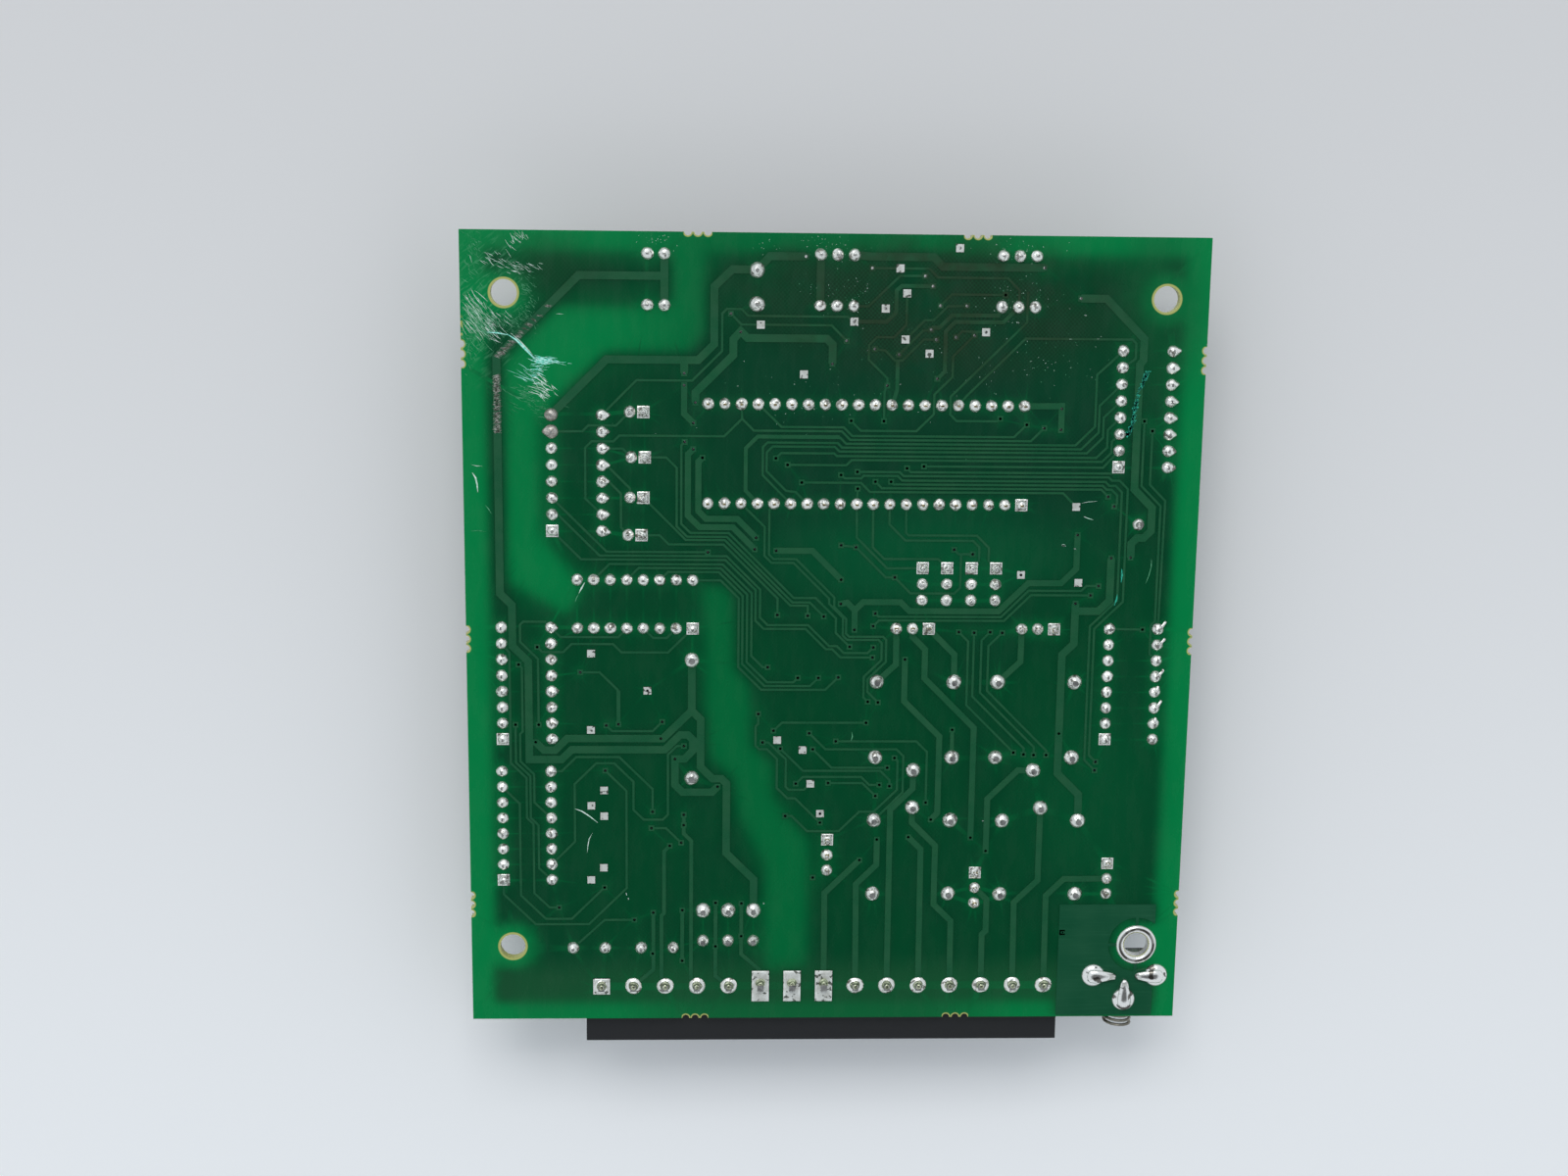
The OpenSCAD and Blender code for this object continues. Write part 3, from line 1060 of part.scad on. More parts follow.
module jumper_pins() {
    color([0.76, 0.68, 0.42]) under() at(jumper_pins_at)
        translate([-jumper_pin_w / 2, -jumper_pin_w / 2, -depth - lead_tip])
            cube([jumper_pin_w, jumper_pin_w, depth + lead_tip + strip_h + jumper_pin_l]);
}

// One link per strip, over the square pin and the middle pin
module jumper_links() {
    color([0.12, 0.12, 0.13]) under() for (j = jumpers) translate(jumper_pin(j, 1.5))
        rotate(j[2][0] == 0 ? 90 : 0) translate([0, 0, strip_h + link_gap])
            linear_extrude(link_h) difference() {
                square([2 * pitch - 0.1, link_w], center = true);
                for (s = [-1, 1]) translate([s * pitch / 2, 0])
                    square([jumper_pin_w + 0.2, jumper_pin_w], center = true);
            }
}

// ---- Suppressors ----
varistor_gap = 1.4;
film_gap = 0.3;
film_over = 1.2;
module varistors() {
    r = varistor_d / 2;
    color([0.16, 0.27, 0.5]) under() for (v = varistors_at) difference() {
        translate([v[0][0] - varistor_t / 2, v[0][1], varistor_gap + r]) rotate([0, 90, 0])
            rotate_extrude() polygon([
                [0, 0], [r - 1.2, 0], [r - 0.4, 0.4], [r, 1.1], [r, varistor_t - 1.1],
                [r - 0.4, varistor_t - 0.4], [r - 1.2, varistor_t], [0, varistor_t]
            ]);
        for (s = [-1, 1]) translate(end(v, s)) cylinder(d = wire_varistor, h = varistor_gap + 2.4);
    }
}

module film_capacitors() {
    color([0.75, 0.72, 0.62]) under() for (f = film_caps)
        translate([f[0][0] - f[2] / 2 - film_over, f[0][1] - film_cap_t / 2, film_gap])
            cube([f[2] + 2 * film_over, film_cap_t, film_cap_h]);
}

module suppressor_leads() {
    color([0.7, 0.7, 0.68]) under() {
        at(ends(varistors_at)) translate([0, 0, -depth - lead_tip])
            cylinder(d = wire_varistor, h = depth + lead_tip + varistor_gap + 2.4);
        at(ends(film_caps)) translate([0, 0, -depth - lead_tip])
            cylinder(d = wire_small, h = depth + lead_tip + film_gap);
    }
}

resistor_z = 1.2 + resistor_d / 2;
module power_resistor() {
    color([0.78, 0.76, 0.7]) under() translate([resistor[0][0], resistor[0][1], resistor_z])
        rotate([90, 0, 0]) translate([0, 0, -resistor_l / 2]) rotate_extrude() polygon([
            [0, 0], [resistor_d / 2 - 0.4, 0], [resistor_d / 2, 0.4],
            [resistor_d / 2, resistor_l - 0.4], [resistor_d / 2 - 0.4, resistor_l], [0, resistor_l]
        ]);
}

module power_resistor_leads() {
    color([0.7, 0.7, 0.68]) under() for (s = [-1, 1]) translate(end(resistor, s)) {
        translate([0, 0, -depth - lead_tip])
            cylinder(d = wire_resistor, h = depth + lead_tip + resistor_z);
        translate([0, 0, resistor_z]) sphere(d = wire_resistor);
        translate([0, 0, resistor_z]) rotate([s * 90, 0, 0])
            cylinder(d = wire_resistor, h = (resistor[2] - resistor_l) / 2);
    }
}

module test_post() {
    color([0.74, 0.74, 0.72]) under() translate(post) translate([0, 0, -depth - lead_tip])
        rotate_extrude() polygon([
            [0, 0], [post_d / 2, 0], [post_d / 2, depth + lead_tip], [1, depth + lead_tip],
            [1, depth + lead_tip + 0.6], [0.65, depth + lead_tip + 0.6], [0.65, depth + lead_tip + 5],
            [0.45, depth + lead_tip + 5.4], [0, depth + lead_tip + 5.4]
        ]);
}

// ---- Earth contact: a bracket with three tabs through the board, and its spring ----
bracket_h = 5.5;
tongue_z = 0.4;
spring_z = 2.7;
spring_out = 2.9;
stud_l = 2.4;
wall_half = 2.1;
front_y = earth_tabs[2][0][1];
front_out = front_y - bracket_t / 2;
spring_l = front_out - board_low + spring_out;
module tab(t) {
    translate(t[0]) rotate(t[1]) {
        translate([-bracket_t / 2, -tab_w / 2, -depth])
            cube([bracket_t, tab_w, depth + tongue_z + bracket_t]);
        translate([0, 0, tongue_z]) linear_extrude(bracket_t)
            polygon([[0, -tab_w / 2], [t[2], -0.35], [t[2], 0.35], [0, tab_w / 2]]);
    }
}

module earth_bracket() {
    color([0.76, 0.77, 0.76]) {
        for (t = earth_tabs) tab(t);
        under() {
            for (t = earth_tabs) translate(t[0]) rotate(t[1])
                translate([-bracket_t / 2, -wall_half, 0]) cube([bracket_t, 2 * wall_half, bracket_h]);
            x0 = earth_tabs[0][0][0] - bracket_t / 2;
            x1 = earth_tabs[1][0][0] + bracket_t / 2;
            translate([x0, front_out, bracket_h - bracket_t]) cube([x1 - x0, 6.2, bracket_t]);
            translate([spring_x, front_y, spring_z]) rotate([90, 0, 0])
                cylinder(d = spring_d - 2 * spring_wire - 0.2, h = bracket_t / 2 + stud_l);
        }
    }
}

// Wire wound round the Z axis, from z = 0 to len
module helix(r, wire, len, turns) {
    m = 8;
    q = 20;
    n = q * turns;
    pts = [for (i = [0:n], j = [0:m - 1])
        let (a = 360 * i / q, b = 360 * j / m, d = r + wire / 2 * cos(b))
        [d * cos(a), d * sin(a), wire / 2 * (1 + sin(b)) + (len - wire) * i / n]];
    start = [[for (j = [0:m - 1]) j]];
    stop = [[for (j = [m - 1:-1:0]) n * m + j]];
    side_a = [for (i = [0:n - 1], j = [0:m - 1]) let (k = (j + 1) % m)
        [i * m + j, (i + 1) * m + j, i * m + k]];
    side_b = [for (i = [0:n - 1], j = [0:m - 1]) let (k = (j + 1) % m)
        [(i + 1) * m + j, (i + 1) * m + k, i * m + k]];
    polyhedron(points = pts, faces = concat(start, stop, side_a, side_b));
}

module earth_spring() {
    color([0.3, 0.3, 0.29]) under() translate([spring_x, front_out, spring_z]) rotate([90, 0, 0])
        helix((spring_d - spring_wire) / 2, spring_wire, spring_l, spring_turns);
}

module solder_earth() {
    color([0.74, 0.75, 0.73]) for (t = earth_tabs) difference() {
        translate(t[0]) {
            rotate_extrude() polygon([
                [0, 0], [earth_joint_d / 2, 0], [earth_joint_d / 2, copper_t],
                [0.42 * earth_joint_d, 0.45], [0.25 * earth_joint_d, 0.8], [0, 1.05]
            ]);
            rotate(t[1]) translate([-slot_t / 2, -slot_w / 2, -board_t])
                cube([slot_t, slot_w, board_t]);
        }
        tab(t);
    }
}

// ---- Small parts glued and soldered flat on the component side: [x, y, turn] ----
resistor_spots = [
    [-8, 41, 90], [-3, 41, 90], [2, 41, 90], [12, 41, 90], [22, 41, 90], [30, 41, 90], [14, 48, 0],
    [19, 48, 0], [-15, 11, 0], [-14, 8, 0], [-10, 6, 0], [4, 15, 0], [9, 15, 0], [14, 15, 0],
    [19, 15, 0], [-6, 0, 0], [-6, -4, 0], [-6, -8, 0], [0, -12, 0], [34, 13, 90], [39, 13, 90],
    [-33, -9, 0], [-33, -13, 0], [-36, -42, 0]
];
capacitor_spots = [
    [-18, 40, 0], [17, 41, 90], [36, 24, 0], [-41, 38, 0], [44, 47, 0], [-43, -20, 0], [41, 3, 0],
    [-30, -24, 0], [-30, -36, 90], [2, 8, 90], [-27, -9, 90]
];
diode_spots = [[22.7, -12, 90], [22.7, -18, 90], [23.4, -30, 90], [23.4, -34, 90], [2.6, -14, 90],
    [2.6, -30, 90], [35, 46, 0]];

module on_spots(list) {
    for (p = list) translate([p[0], p[1], 0]) rotate(p[2]) children();
}

module chip_part(l, w, h, cap) {
    translate([cap - l / 2, -w / 2, 0.04]) cube([l - 2 * cap, w, h]);
    for (s = [0, 1]) rotate(180 * s) translate([l / 2 - cap, -w / 2, 0]) cube([cap, w, h + 0.06]);
}

module chip_resistors() {
    color([0.1, 0.1, 0.1]) under() on_spots(resistor_spots) chip_part(2, 1.25, 0.5, 0.35);
}

module chip_capacitors() {
    color([0.62, 0.5, 0.38]) under() on_spots(capacitor_spots) chip_part(2, 1.25, 0.9, 0.4);
}

module chip_diodes() {
    color([0.12, 0.12, 0.13]) under() on_spots(diode_spots) {
        translate([-1.35, -0.8, 0.1]) cube([2.7, 1.6, 1.1]);
        for (s = [0, 1]) rotate(180 * s) translate([1.35, -0.3, 0]) cube([0.5, 0.6, 0.5]);
    }
}

board();
component_plane();
tracks();
chassis_pour();
test_pads();
earth_ring();
solder_chips();
solder_small();
solder_power();
solder_header();
solder_earth();
header_housing();
header_pins();
relay_1();
relay_2();
relay_3();
relay_4();
relay_bases();
relay_pins();
microcontroller();
microcontroller_leads();
mcu_socket();
mcu_socket_contacts();
chip_top_left();
chip_top_left_leads();
chip_top_right();
chip_top_right_leads();
chip_middle_left();
chip_middle_left_leads();
chip_bottom_left();
chip_bottom_left_leads();
chip_right();
chip_right_leads();
chip_row();
chip_row_leads();
optocoupler_1();
optocoupler_2();
optocoupler_3();
optocoupler_leads();
capacitor_cans();
capacitor_sleeves();
capacitor_bungs();
capacitor_leads();
transistors();
transistor_leads();
jumper_strips();
jumper_pins();
jumper_links();
varistors();
film_capacitors();
suppressor_leads();
power_resistor();
power_resistor_leads();
test_post();
earth_bracket();
earth_spring();
chip_resistors();
chip_capacitors();
chip_diodes();
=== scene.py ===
import json
import math
import random

import bpy
import numpy as np
from mathutils import Matrix, Vector


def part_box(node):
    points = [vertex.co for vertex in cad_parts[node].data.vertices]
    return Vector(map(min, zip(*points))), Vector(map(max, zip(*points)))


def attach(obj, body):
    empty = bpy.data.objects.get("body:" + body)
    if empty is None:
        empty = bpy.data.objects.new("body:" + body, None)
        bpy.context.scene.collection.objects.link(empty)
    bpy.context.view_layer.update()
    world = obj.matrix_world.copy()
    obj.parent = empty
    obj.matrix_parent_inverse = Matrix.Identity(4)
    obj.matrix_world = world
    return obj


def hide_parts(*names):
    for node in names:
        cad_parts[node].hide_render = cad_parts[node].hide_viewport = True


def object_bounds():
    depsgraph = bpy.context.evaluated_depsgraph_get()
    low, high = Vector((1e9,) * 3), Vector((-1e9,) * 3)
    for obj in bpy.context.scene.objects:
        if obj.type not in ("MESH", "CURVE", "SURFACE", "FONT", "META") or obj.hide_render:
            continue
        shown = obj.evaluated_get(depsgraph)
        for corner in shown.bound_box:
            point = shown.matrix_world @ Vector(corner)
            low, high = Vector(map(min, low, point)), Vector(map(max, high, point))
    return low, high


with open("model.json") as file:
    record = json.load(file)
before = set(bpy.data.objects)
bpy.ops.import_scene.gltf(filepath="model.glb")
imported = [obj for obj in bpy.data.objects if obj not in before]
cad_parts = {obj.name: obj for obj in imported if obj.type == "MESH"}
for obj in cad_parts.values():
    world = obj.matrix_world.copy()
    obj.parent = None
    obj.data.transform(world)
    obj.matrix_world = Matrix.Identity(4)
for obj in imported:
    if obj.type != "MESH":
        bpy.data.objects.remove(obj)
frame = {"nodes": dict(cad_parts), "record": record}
cad_low, cad_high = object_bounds()
nodes = frame["nodes"]
mm = 0.001
rng = random.Random(7)

# ---- Places, in millimetres in the part's frame ----
hole_pattern = next(m for m in frame["record"]["mounts"] if m["name"] == "mounting_holes")["dims"]
hole_x = hole_pattern["spacing_x_mm"] / 2
hole_y = hole_pattern["spacing_y_mm"] / 2
hole_r = hole_pattern["hole_r_mm"]
board_low, board_high = (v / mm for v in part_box("board"))
board_mid_y = (board_low.y + board_high.y) / 2
board_half_y = (board_high.y - board_low.y) / 2
# Broken tabs on the upper and lower edges, and on the side edges, with three half holes each
tab_x = 21.0
tab_y = (42.3, -1.5, -44.5)
bite_pitch = 1.5
# Bare laminate fades in between these: round a half hole, and past a mounting hole's wall
bite_fade = (0.8, 0.68)
hole_fade = (0.4, 0.26)
# Walls this close to the board's edges take its sides' colour; the others, inside holes, are painted dark as
# painted shade
side_fade = (0.7, 0.6)
# Solder goes no higher than just above the highest CAD piece
solder_top = cad_high.z / mm + 0.04


# ---- Materials ----
class Graph:
    """A material's node tree, with one call for each kind of node."""

    def __init__(self, name):
        self.material = bpy.data.materials.new(name)
        self.material.use_nodes = True
        self.tree = self.material.node_tree
        self.tree.nodes.clear()
        self.shader = self.tree.nodes.new("ShaderNodeBsdfPrincipled")
        out = self.tree.nodes.new("ShaderNodeOutputMaterial")
        self.link(self.shader.outputs["BSDF"], out.inputs["Surface"])
        coords = self.tree.nodes.new("ShaderNodeTexCoord")
        to_mm = self.tree.nodes.new("ShaderNodeVectorMath")
        to_mm.operation = "SCALE"
        to_mm.inputs["Scale"].default_value = 1 / mm
        self.link(coords.outputs["Object"], to_mm.inputs[0])
        self.place = to_mm.outputs["Vector"]
        split = self.tree.nodes.new("ShaderNodeSeparateXYZ")
        self.link(self.place, split.inputs[0])
        self.x, self.y, self.z = split.outputs

    def link(self, a, b):
        self.tree.links.new(a, b)

    def feed(self, socket, value):
        if isinstance(value, bpy.types.NodeSocket):
            self.link(value, socket)
        else:
            socket.default_value = value

    def math(self, operation, a, b=0.0, c=0.0, clamp=False):
        node = self.tree.nodes.new("ShaderNodeMath")
        node.operation = operation
        node.use_clamp = clamp
        for socket, value in zip(node.inputs, (a, b, c)):
            self.feed(socket, value)
        return node.outputs[0]

    def steps(self, value, low, high, to_low=0.0, to_high=1.0, smooth=True):
        node = self.tree.nodes.new("ShaderNodeMapRange")
        node.interpolation_type = "SMOOTHSTEP" if smooth else "LINEAR"
        for key, v in (("From Min", low), ("From Max", high), ("To Min", to_low), ("To Max", to_high)):
            node.inputs[key].default_value = v
        self.feed(node.inputs["Value"], value)
        return node.outputs[0]

    def mix(self, share, a, b):
        node = self.tree.nodes.new("ShaderNodeMix")
        node.data_type = "RGBA"
        self.feed(node.inputs[0], share)
        self.feed(node.inputs[6], a if isinstance(a, bpy.types.NodeSocket) else (*a, 1.0))
        self.feed(node.inputs[7], b if isinstance(b, bpy.types.NodeSocket) else (*b, 1.0))
        return node.outputs[2]

    def noise(self, scale, detail=3.0, rough=0.5, stretch=(1, 1, 1), turn=0):
        """Noise per millimetre; turn slants a stretched one, in degrees."""
        place = self.tree.nodes.new("ShaderNodeMapping")
        place.vector_type = "TEXTURE"
        place.inputs["Scale"].default_value = [1 / v for v in stretch]
        place.inputs["Rotation"].default_value = (0, 0, math.radians(turn))
        self.link(self.place, place.inputs["Vector"])
        node = self.tree.nodes.new("ShaderNodeTexNoise")
        node.inputs["Scale"].default_value = scale
        node.inputs["Detail"].default_value = detail
        node.inputs["Roughness"].default_value = rough
        self.link(place.outputs[0], node.inputs["Vector"])
        return node.outputs["Fac"]

    def length(self, a, b):
        return self.math("SQRT", self.math("MULTIPLY_ADD", b, b, self.math("MULTIPLY", a, a)))

    def distance(self, x, y):
        return self.length(self.math("SUBTRACT", self.x, x), self.math("SUBTRACT", self.y, y))

    def spot(self, x, y, rx, ry, inner, outer):
        """1 inside an ellipse, fading to 0 between inner and outer times its radii."""
        dx = self.math("DIVIDE", self.math("SUBTRACT", self.x, x), rx)
        dy = self.math("DIVIDE", self.math("SUBTRACT", self.y, y), ry)
        return self.steps(self.length(dx, dy), outer, inner)

    def attribute(self, name):
        node = self.tree.nodes.new("ShaderNodeAttribute")
        node.attribute_name = name
        return node.outputs["Fac"]

    def bump(self, height, strength, distance):
        node = self.tree.nodes.new("ShaderNodeBump")
        node.inputs["Strength"].default_value = strength
        node.inputs["Distance"].default_value = distance * mm
        self.link(height, node.inputs["Height"])
        self.link(node.outputs[0], self.shader.inputs["Normal"])

    def set(self, **values):
        for key, value in values.items():
            socket = self.shader.inputs[key.replace("_", " ")]
            if isinstance(value, tuple) and len(value) == 3:
                value = (*value, 1.0)
            self.feed(socket, value)


def srgb(r, g, b):
    """A colour as seen on a screen, 0 to 255, as linear light."""
    return tuple(((v / 255 + 0.055) / 1.055) ** 2.4 if v > 10 else v / 255 / 12.92 for v in (r, g, b))


def haze(g):
    """Brownish flux left by hand soldering near the top edge."""
    field = g.spot(16, 50, 30, 13, 0.45, 1.15)
    cloud = g.steps(g.noise(0.12, 4.0, 0.6), 0.28, 0.6)
    left = g.spot(-5, 52, 16, 9, 0.3, 1.1)
    corner = g.spot(-44, 56, 12, 6, 0.2, 1.2)
    both = g.math("MAXIMUM", field, g.math("MULTIPLY", left, 0.7))
    both = g.math("MAXIMUM", both, g.math("MULTIPLY", corner, 0.5))
    return g.math("MULTIPLY", both, cloud)


def weave(g):
    """The laminate's glass cloth, from 0 to 1."""
    waves = []
    for axis, pitch in ((g.x, 0.62), (g.y, 0.66)):
        waves.append(g.math("SINE", g.math("MULTIPLY", axis, 2 * math.pi / pitch)))
    return g.steps(g.math("MULTIPLY", waves[0], waves[1]), -1, 1, smooth=False)


def off_flat(g):
    """How far a face is from lying flat: 0 on the two broad faces, 1 on edges and in holes."""
    geometry = g.tree.nodes.new("ShaderNodeNewGeometry")
    split = g.tree.nodes.new("ShaderNodeSeparateXYZ")
    g.link(geometry.outputs["Normal"], split.inputs[0])
    return g.steps(g.math("ABSOLUTE", split.outputs[2]), 0.6, 0.4)


def bite_rim(g, across, along):
    """1 close to a row of three half holes, from the distances across and along the board's edge."""
    nearest = g.math("PINGPONG", along, 0.5 * bite_pitch)
    ring = g.steps(g.length(across, nearest), *bite_fade)
    return g.math("MULTIPLY", ring, g.steps(along, 1.45 * bite_pitch, 1.4 * bite_pitch))


def bare_laminate(g):
    """1 on the bare glass cloth round the mounting holes and at the broken tabs."""
    bare = None
    for sx in (-1, 1):
        for sy in (-1, 1):
            ring = g.steps(g.distance(sx * hole_x, sy * hole_y), *(hole_r + v for v in hole_fade))
            bare = ring if bare is None else g.math("MAXIMUM", bare, ring)
    across = g.math("SUBTRACT", g.math("ABSOLUTE", g.x), board_high.x)
    along = None
    for y in tab_y:
        off = g.math("ABSOLUTE", g.math("SUBTRACT", g.y, y))
        along = off if along is None else g.math("MINIMUM", along, off)
    bare = g.math("MAXIMUM", bare, bite_rim(g, across, along))
    off_middle = g.math("ABSOLUTE", g.math("SUBTRACT", g.y, board_mid_y))
    across = g.math("SUBTRACT", off_middle, board_half_y)
    along = g.math("ABSOLUTE", g.math("SUBTRACT", g.math("ABSOLUTE", g.x), tab_x))
    return g.math("MAXIMUM", bare, bite_rim(g, across, along))


# Areas of the mask that are lighter than the rest: x, y, two radii and the fade, share, colour
mask_areas = (
    ((42, -26, 14, 22, 0.2, 1.2), 0.6, (0, 84, 46)),
    ((14, 12, 28, 9, 0.3, 1.2), 0.55, (0, 92, 52)),
    ((49, 49, 8, 15, 0.4, 1.2), 0.5, (16, 86, 48)),
)


def mask_material():
    g = Graph("solder_mask")
    light = g.attribute("light")
    shade = g.attribute("shade")
    cloud = g.noise(0.06, 3.0, 0.55)
    # deep green at the sides and the foot, greyer between the microcontroller's rows
    grey = g.math("MULTIPLY_ADD", g.spot(12, 30, 46, 32, 0.3, 1.25), 0.75, g.steps(cloud, 0.4, 0.75, 0, 0.3))
    base = g.mix(g.math("MINIMUM", grey, 1.0), srgb(0, 71, 39), srgb(10, 60, 40))
    base = g.mix(light, base, srgb(0, 130, 68))
    base = g.mix(g.math("MULTIPLY", shade, 0.42), base, srgb(0, 40, 24))
    foot = g.math("MULTIPLY", g.steps(g.y, -52, -58), g.math("SUBTRACT", 1.0, light, clamp=True))
    base = g.mix(g.math("MULTIPLY", foot, 0.75), base, srgb(28, 84, 50))
    for area, share, color in mask_areas:
        base = g.mix(g.math("MULTIPLY", g.spot(*area), share), base, srgb(*color))
    flux = haze(g)
    base = g.mix(g.math("MULTIPLY", flux, 0.7), base, srgb(26, 40, 26))
    cloth = g.math("MULTIPLY", weave(g), g.math("MULTIPLY_ADD", flux, 0.7, 0.14))
    base = g.mix(g.math("MULTIPLY", cloth, 0.3), base, srgb(46, 110, 74))
    # rubbed corner: fine slanting hairlines of wear, also painted pale as a streaky painted sheen
    hair = g.noise(0.9, 2.0, 0.5, stretch=(3.2, 0.55, 1), turn=-50)
    rubbed = g.math("MULTIPLY", g.spot(-52.5, 50, 6.5, 13, 0.35, 1.2), g.steps(hair, 0.5, 0.75))
    base = g.mix(g.math("MULTIPLY", rubbed, 0.42), base, srgb(96, 176, 128))
    frayed = g.math("MULTIPLY", g.steps(g.x, -56.0, -56.35), g.spot(-56.5, 44.2, 1.0, 4.6, 0.5, 1.0))
    frayed = g.math("MULTIPLY", frayed, g.steps(g.noise(1.1, 3.0), 0.46, 0.56))
    base = g.mix(g.math("MAXIMUM", bare_laminate(g), frayed), base, srgb(180, 182, 108))
    side = off_flat(g)
    rim_x = g.steps(g.math("ABSOLUTE", g.x), *(board_high.x - v for v in side_fade))
    off_middle = g.math("ABSOLUTE", g.math("SUBTRACT", g.y, board_mid_y))
    rim_y = g.steps(off_middle, *(board_half_y - v for v in side_fade))
    rim = g.math("MAXIMUM", rim_x, rim_y)
    # painted shade: the walls inside holes are painted near black; the board's outer sides take a lighter
    # green
    side_colour_or_hole_shade = g.mix(rim, srgb(4, 26, 17), srgb(40, 130, 72))
    base = g.mix(g.math("MULTIPLY", side, g.math("SUBTRACT", 1.0, bare_laminate(g))), base, side_colour_or_hole_shade)
    smear = g.noise(0.25, 5.0, 0.65, stretch=(1.6, 0.5, 1))
    g.set(Base_Color=base, Roughness=g.math("MULTIPLY_ADD", g.steps(smear, 0.3, 0.75), 0.14, 0.2))
    g.set(Specular_IOR_Level=0.3)
    g.bump(g.math("MULTIPLY_ADD", weave(g), 0.25, g.noise(1.3, 3.0)), 0.12, 0.05)
    return g.material


def track_material():
    g = Graph("masked_copper")
    base = g.mix(g.steps(g.noise(0.2, 4.0), 0.3, 0.7), srgb(27, 87, 56), srgb(34, 90, 58))
    base = g.mix(g.math("MULTIPLY", haze(g), 0.75), base, srgb(42, 50, 34))
    g.set(Base_Color=base, Roughness=g.steps(g.noise(0.5, 4.0), 0.2, 0.8, 0.22, 0.4), Specular_IOR_Level=0.3)
    g.bump(g.noise(1.5, 3.0), 0.1, 0.04)
    return g.material


def pour_material():
    g = Graph("masked_pour")
    base = g.mix(g.steps(g.noise(0.15, 4.0), 0.3, 0.7), srgb(14, 78, 50), srgb(26, 84, 56))
    streaks = g.noise(0.5, 3.0, 0.5, stretch=(0.25, 6, 1))
    base = g.mix(g.steps(streaks, 0.5, 0.8, 0, 0.3), base, srgb(50, 108, 78))
    g.set(Base_Color=base, Roughness=0.3, Specular_IOR_Level=0.3)
    g.bump(g.noise(1.2, 3.0), 0.12, 0.05)
    return g.material


def tin_material():
    """Bare tinned pads: pale, and half dulled, so that they stay light under a dark ceiling."""
    g = Graph("tinned_pad")
    patches = g.noise(0.9, 4.0, 0.6)
    base = g.mix(g.steps(patches, 0.35, 0.7), srgb(236, 238, 232), srgb(200, 200, 192))
    base = g.mix(g.steps(g.noise(1.6, 2.0), 0.58, 0.64), base, srgb(96, 98, 90))
    # painted shade: the sides of tinned pads, pad plates and the earth bracket are painted near black
    base = g.mix(off_flat(g), base, srgb(18, 20, 18))
    g.set(Base_Color=base, Metallic=0.3, Roughness=g.steps(patches, 0.3, 0.7, 0.3, 0.45))
    g.bump(g.noise(2.4, 4.0), 0.3, 0.05)
    return g.material


def scuff_material(name, color, dark):
    g = Graph(name)
    g.set(Base_Color=g.mix(g.steps(g.noise(2.2, 3.0), 0.35, 0.65), color, dark), Roughness=0.5)
    g.bump(g.noise(6.0, 3.0), 0.3, 0.03)
    return g.material


def solder_material():
    """Bright solder with irregular dark patches where flux and wire show through."""
    g = Graph("solder")
    patches = g.noise(1.25, 3.0, 0.55)
    base = g.mix(g.steps(patches, 0.55, 0.63), (0.97, 0.96, 0.90), (0.20, 0.19, 0.16))
    base = g.mix(g.steps(g.noise(0.35, 3.0), 0.35, 0.7, 0, 0.35), base, (0.62, 0.61, 0.56))
    g.set(Base_Color=base, Metallic=1.0, Roughness=g.steps(patches, 0.35, 0.6, 0.16, 0.4))
    g.bump(g.noise(2.6, 4.0, 0.6), 0.45, 0.16)
    return g.material


def ring_material():
    """The tinned ring: a dark band half way in, as its hollow mirrors the ceiling."""
    g = Graph("tinned_ring")
    away = g.distance(hole_x, -hole_y)
    band = g.math("MULTIPLY", g.steps(away, 2.4, 2.52), g.steps(away, 2.96, 2.84))
    broken = g.steps(g.noise(0.7, 3.0), 0.4, 0.52, 0.6, 1.0)
    base = g.mix(g.math("MULTIPLY", band, broken), (0.93, 0.92, 0.88), (0.16, 0.15, 0.13))
    g.set(Base_Color=base, Metallic=0.75, Roughness=0.22)
    g.bump(g.noise(1.4, 2.0), 0.2, 0.08)
    return g.material


def broad_solder():
    """Thick smooth solder with a few broad dark reflections."""
    g = Graph("solder_smooth")
    patches = g.noise(0.62, 2.0, 0.5)
    base = g.mix(g.steps(patches, 0.57, 0.63), (0.94, 0.93, 0.89), (0.17, 0.16, 0.14))
    g.set(Base_Color=base, Metallic=0.9, Roughness=0.2)
    g.bump(g.noise(0.9, 2.0), 0.25, 0.12)
    return g.material


def metal(name, color, rough=0.25, scale=0.8, depth=0.06, tint=None):
    g = Graph(name)
    patches = g.steps(g.noise(scale, 4.0, 0.6), 0.3, 0.72)
    base = g.mix(patches, color, tint or tuple(0.72 * c for c in color))
    g.set(Base_Color=base, Metallic=1.0, Roughness=g.math("MULTIPLY_ADD", patches, 0.2, rough))
    g.bump(g.noise(scale * 2.5, 4.0), 0.35, depth)
    return g.material


def plain(name, color, rough=0.5, scale=0.6, grain=0.25, depth=0.05, **extra):
    g = Graph(name)
    patches = g.noise(scale, 4.0, 0.6)
    base = g.mix(g.steps(patches, 0.3, 0.7), color, tuple(c * (1 - grain) for c in color))
    g.set(Base_Color=base, Roughness=g.steps(patches, 0.2, 0.8, rough, rough + 0.12), **extra)
    g.bump(g.noise(scale * 4, 4.0), 0.15, depth)
    return g.material


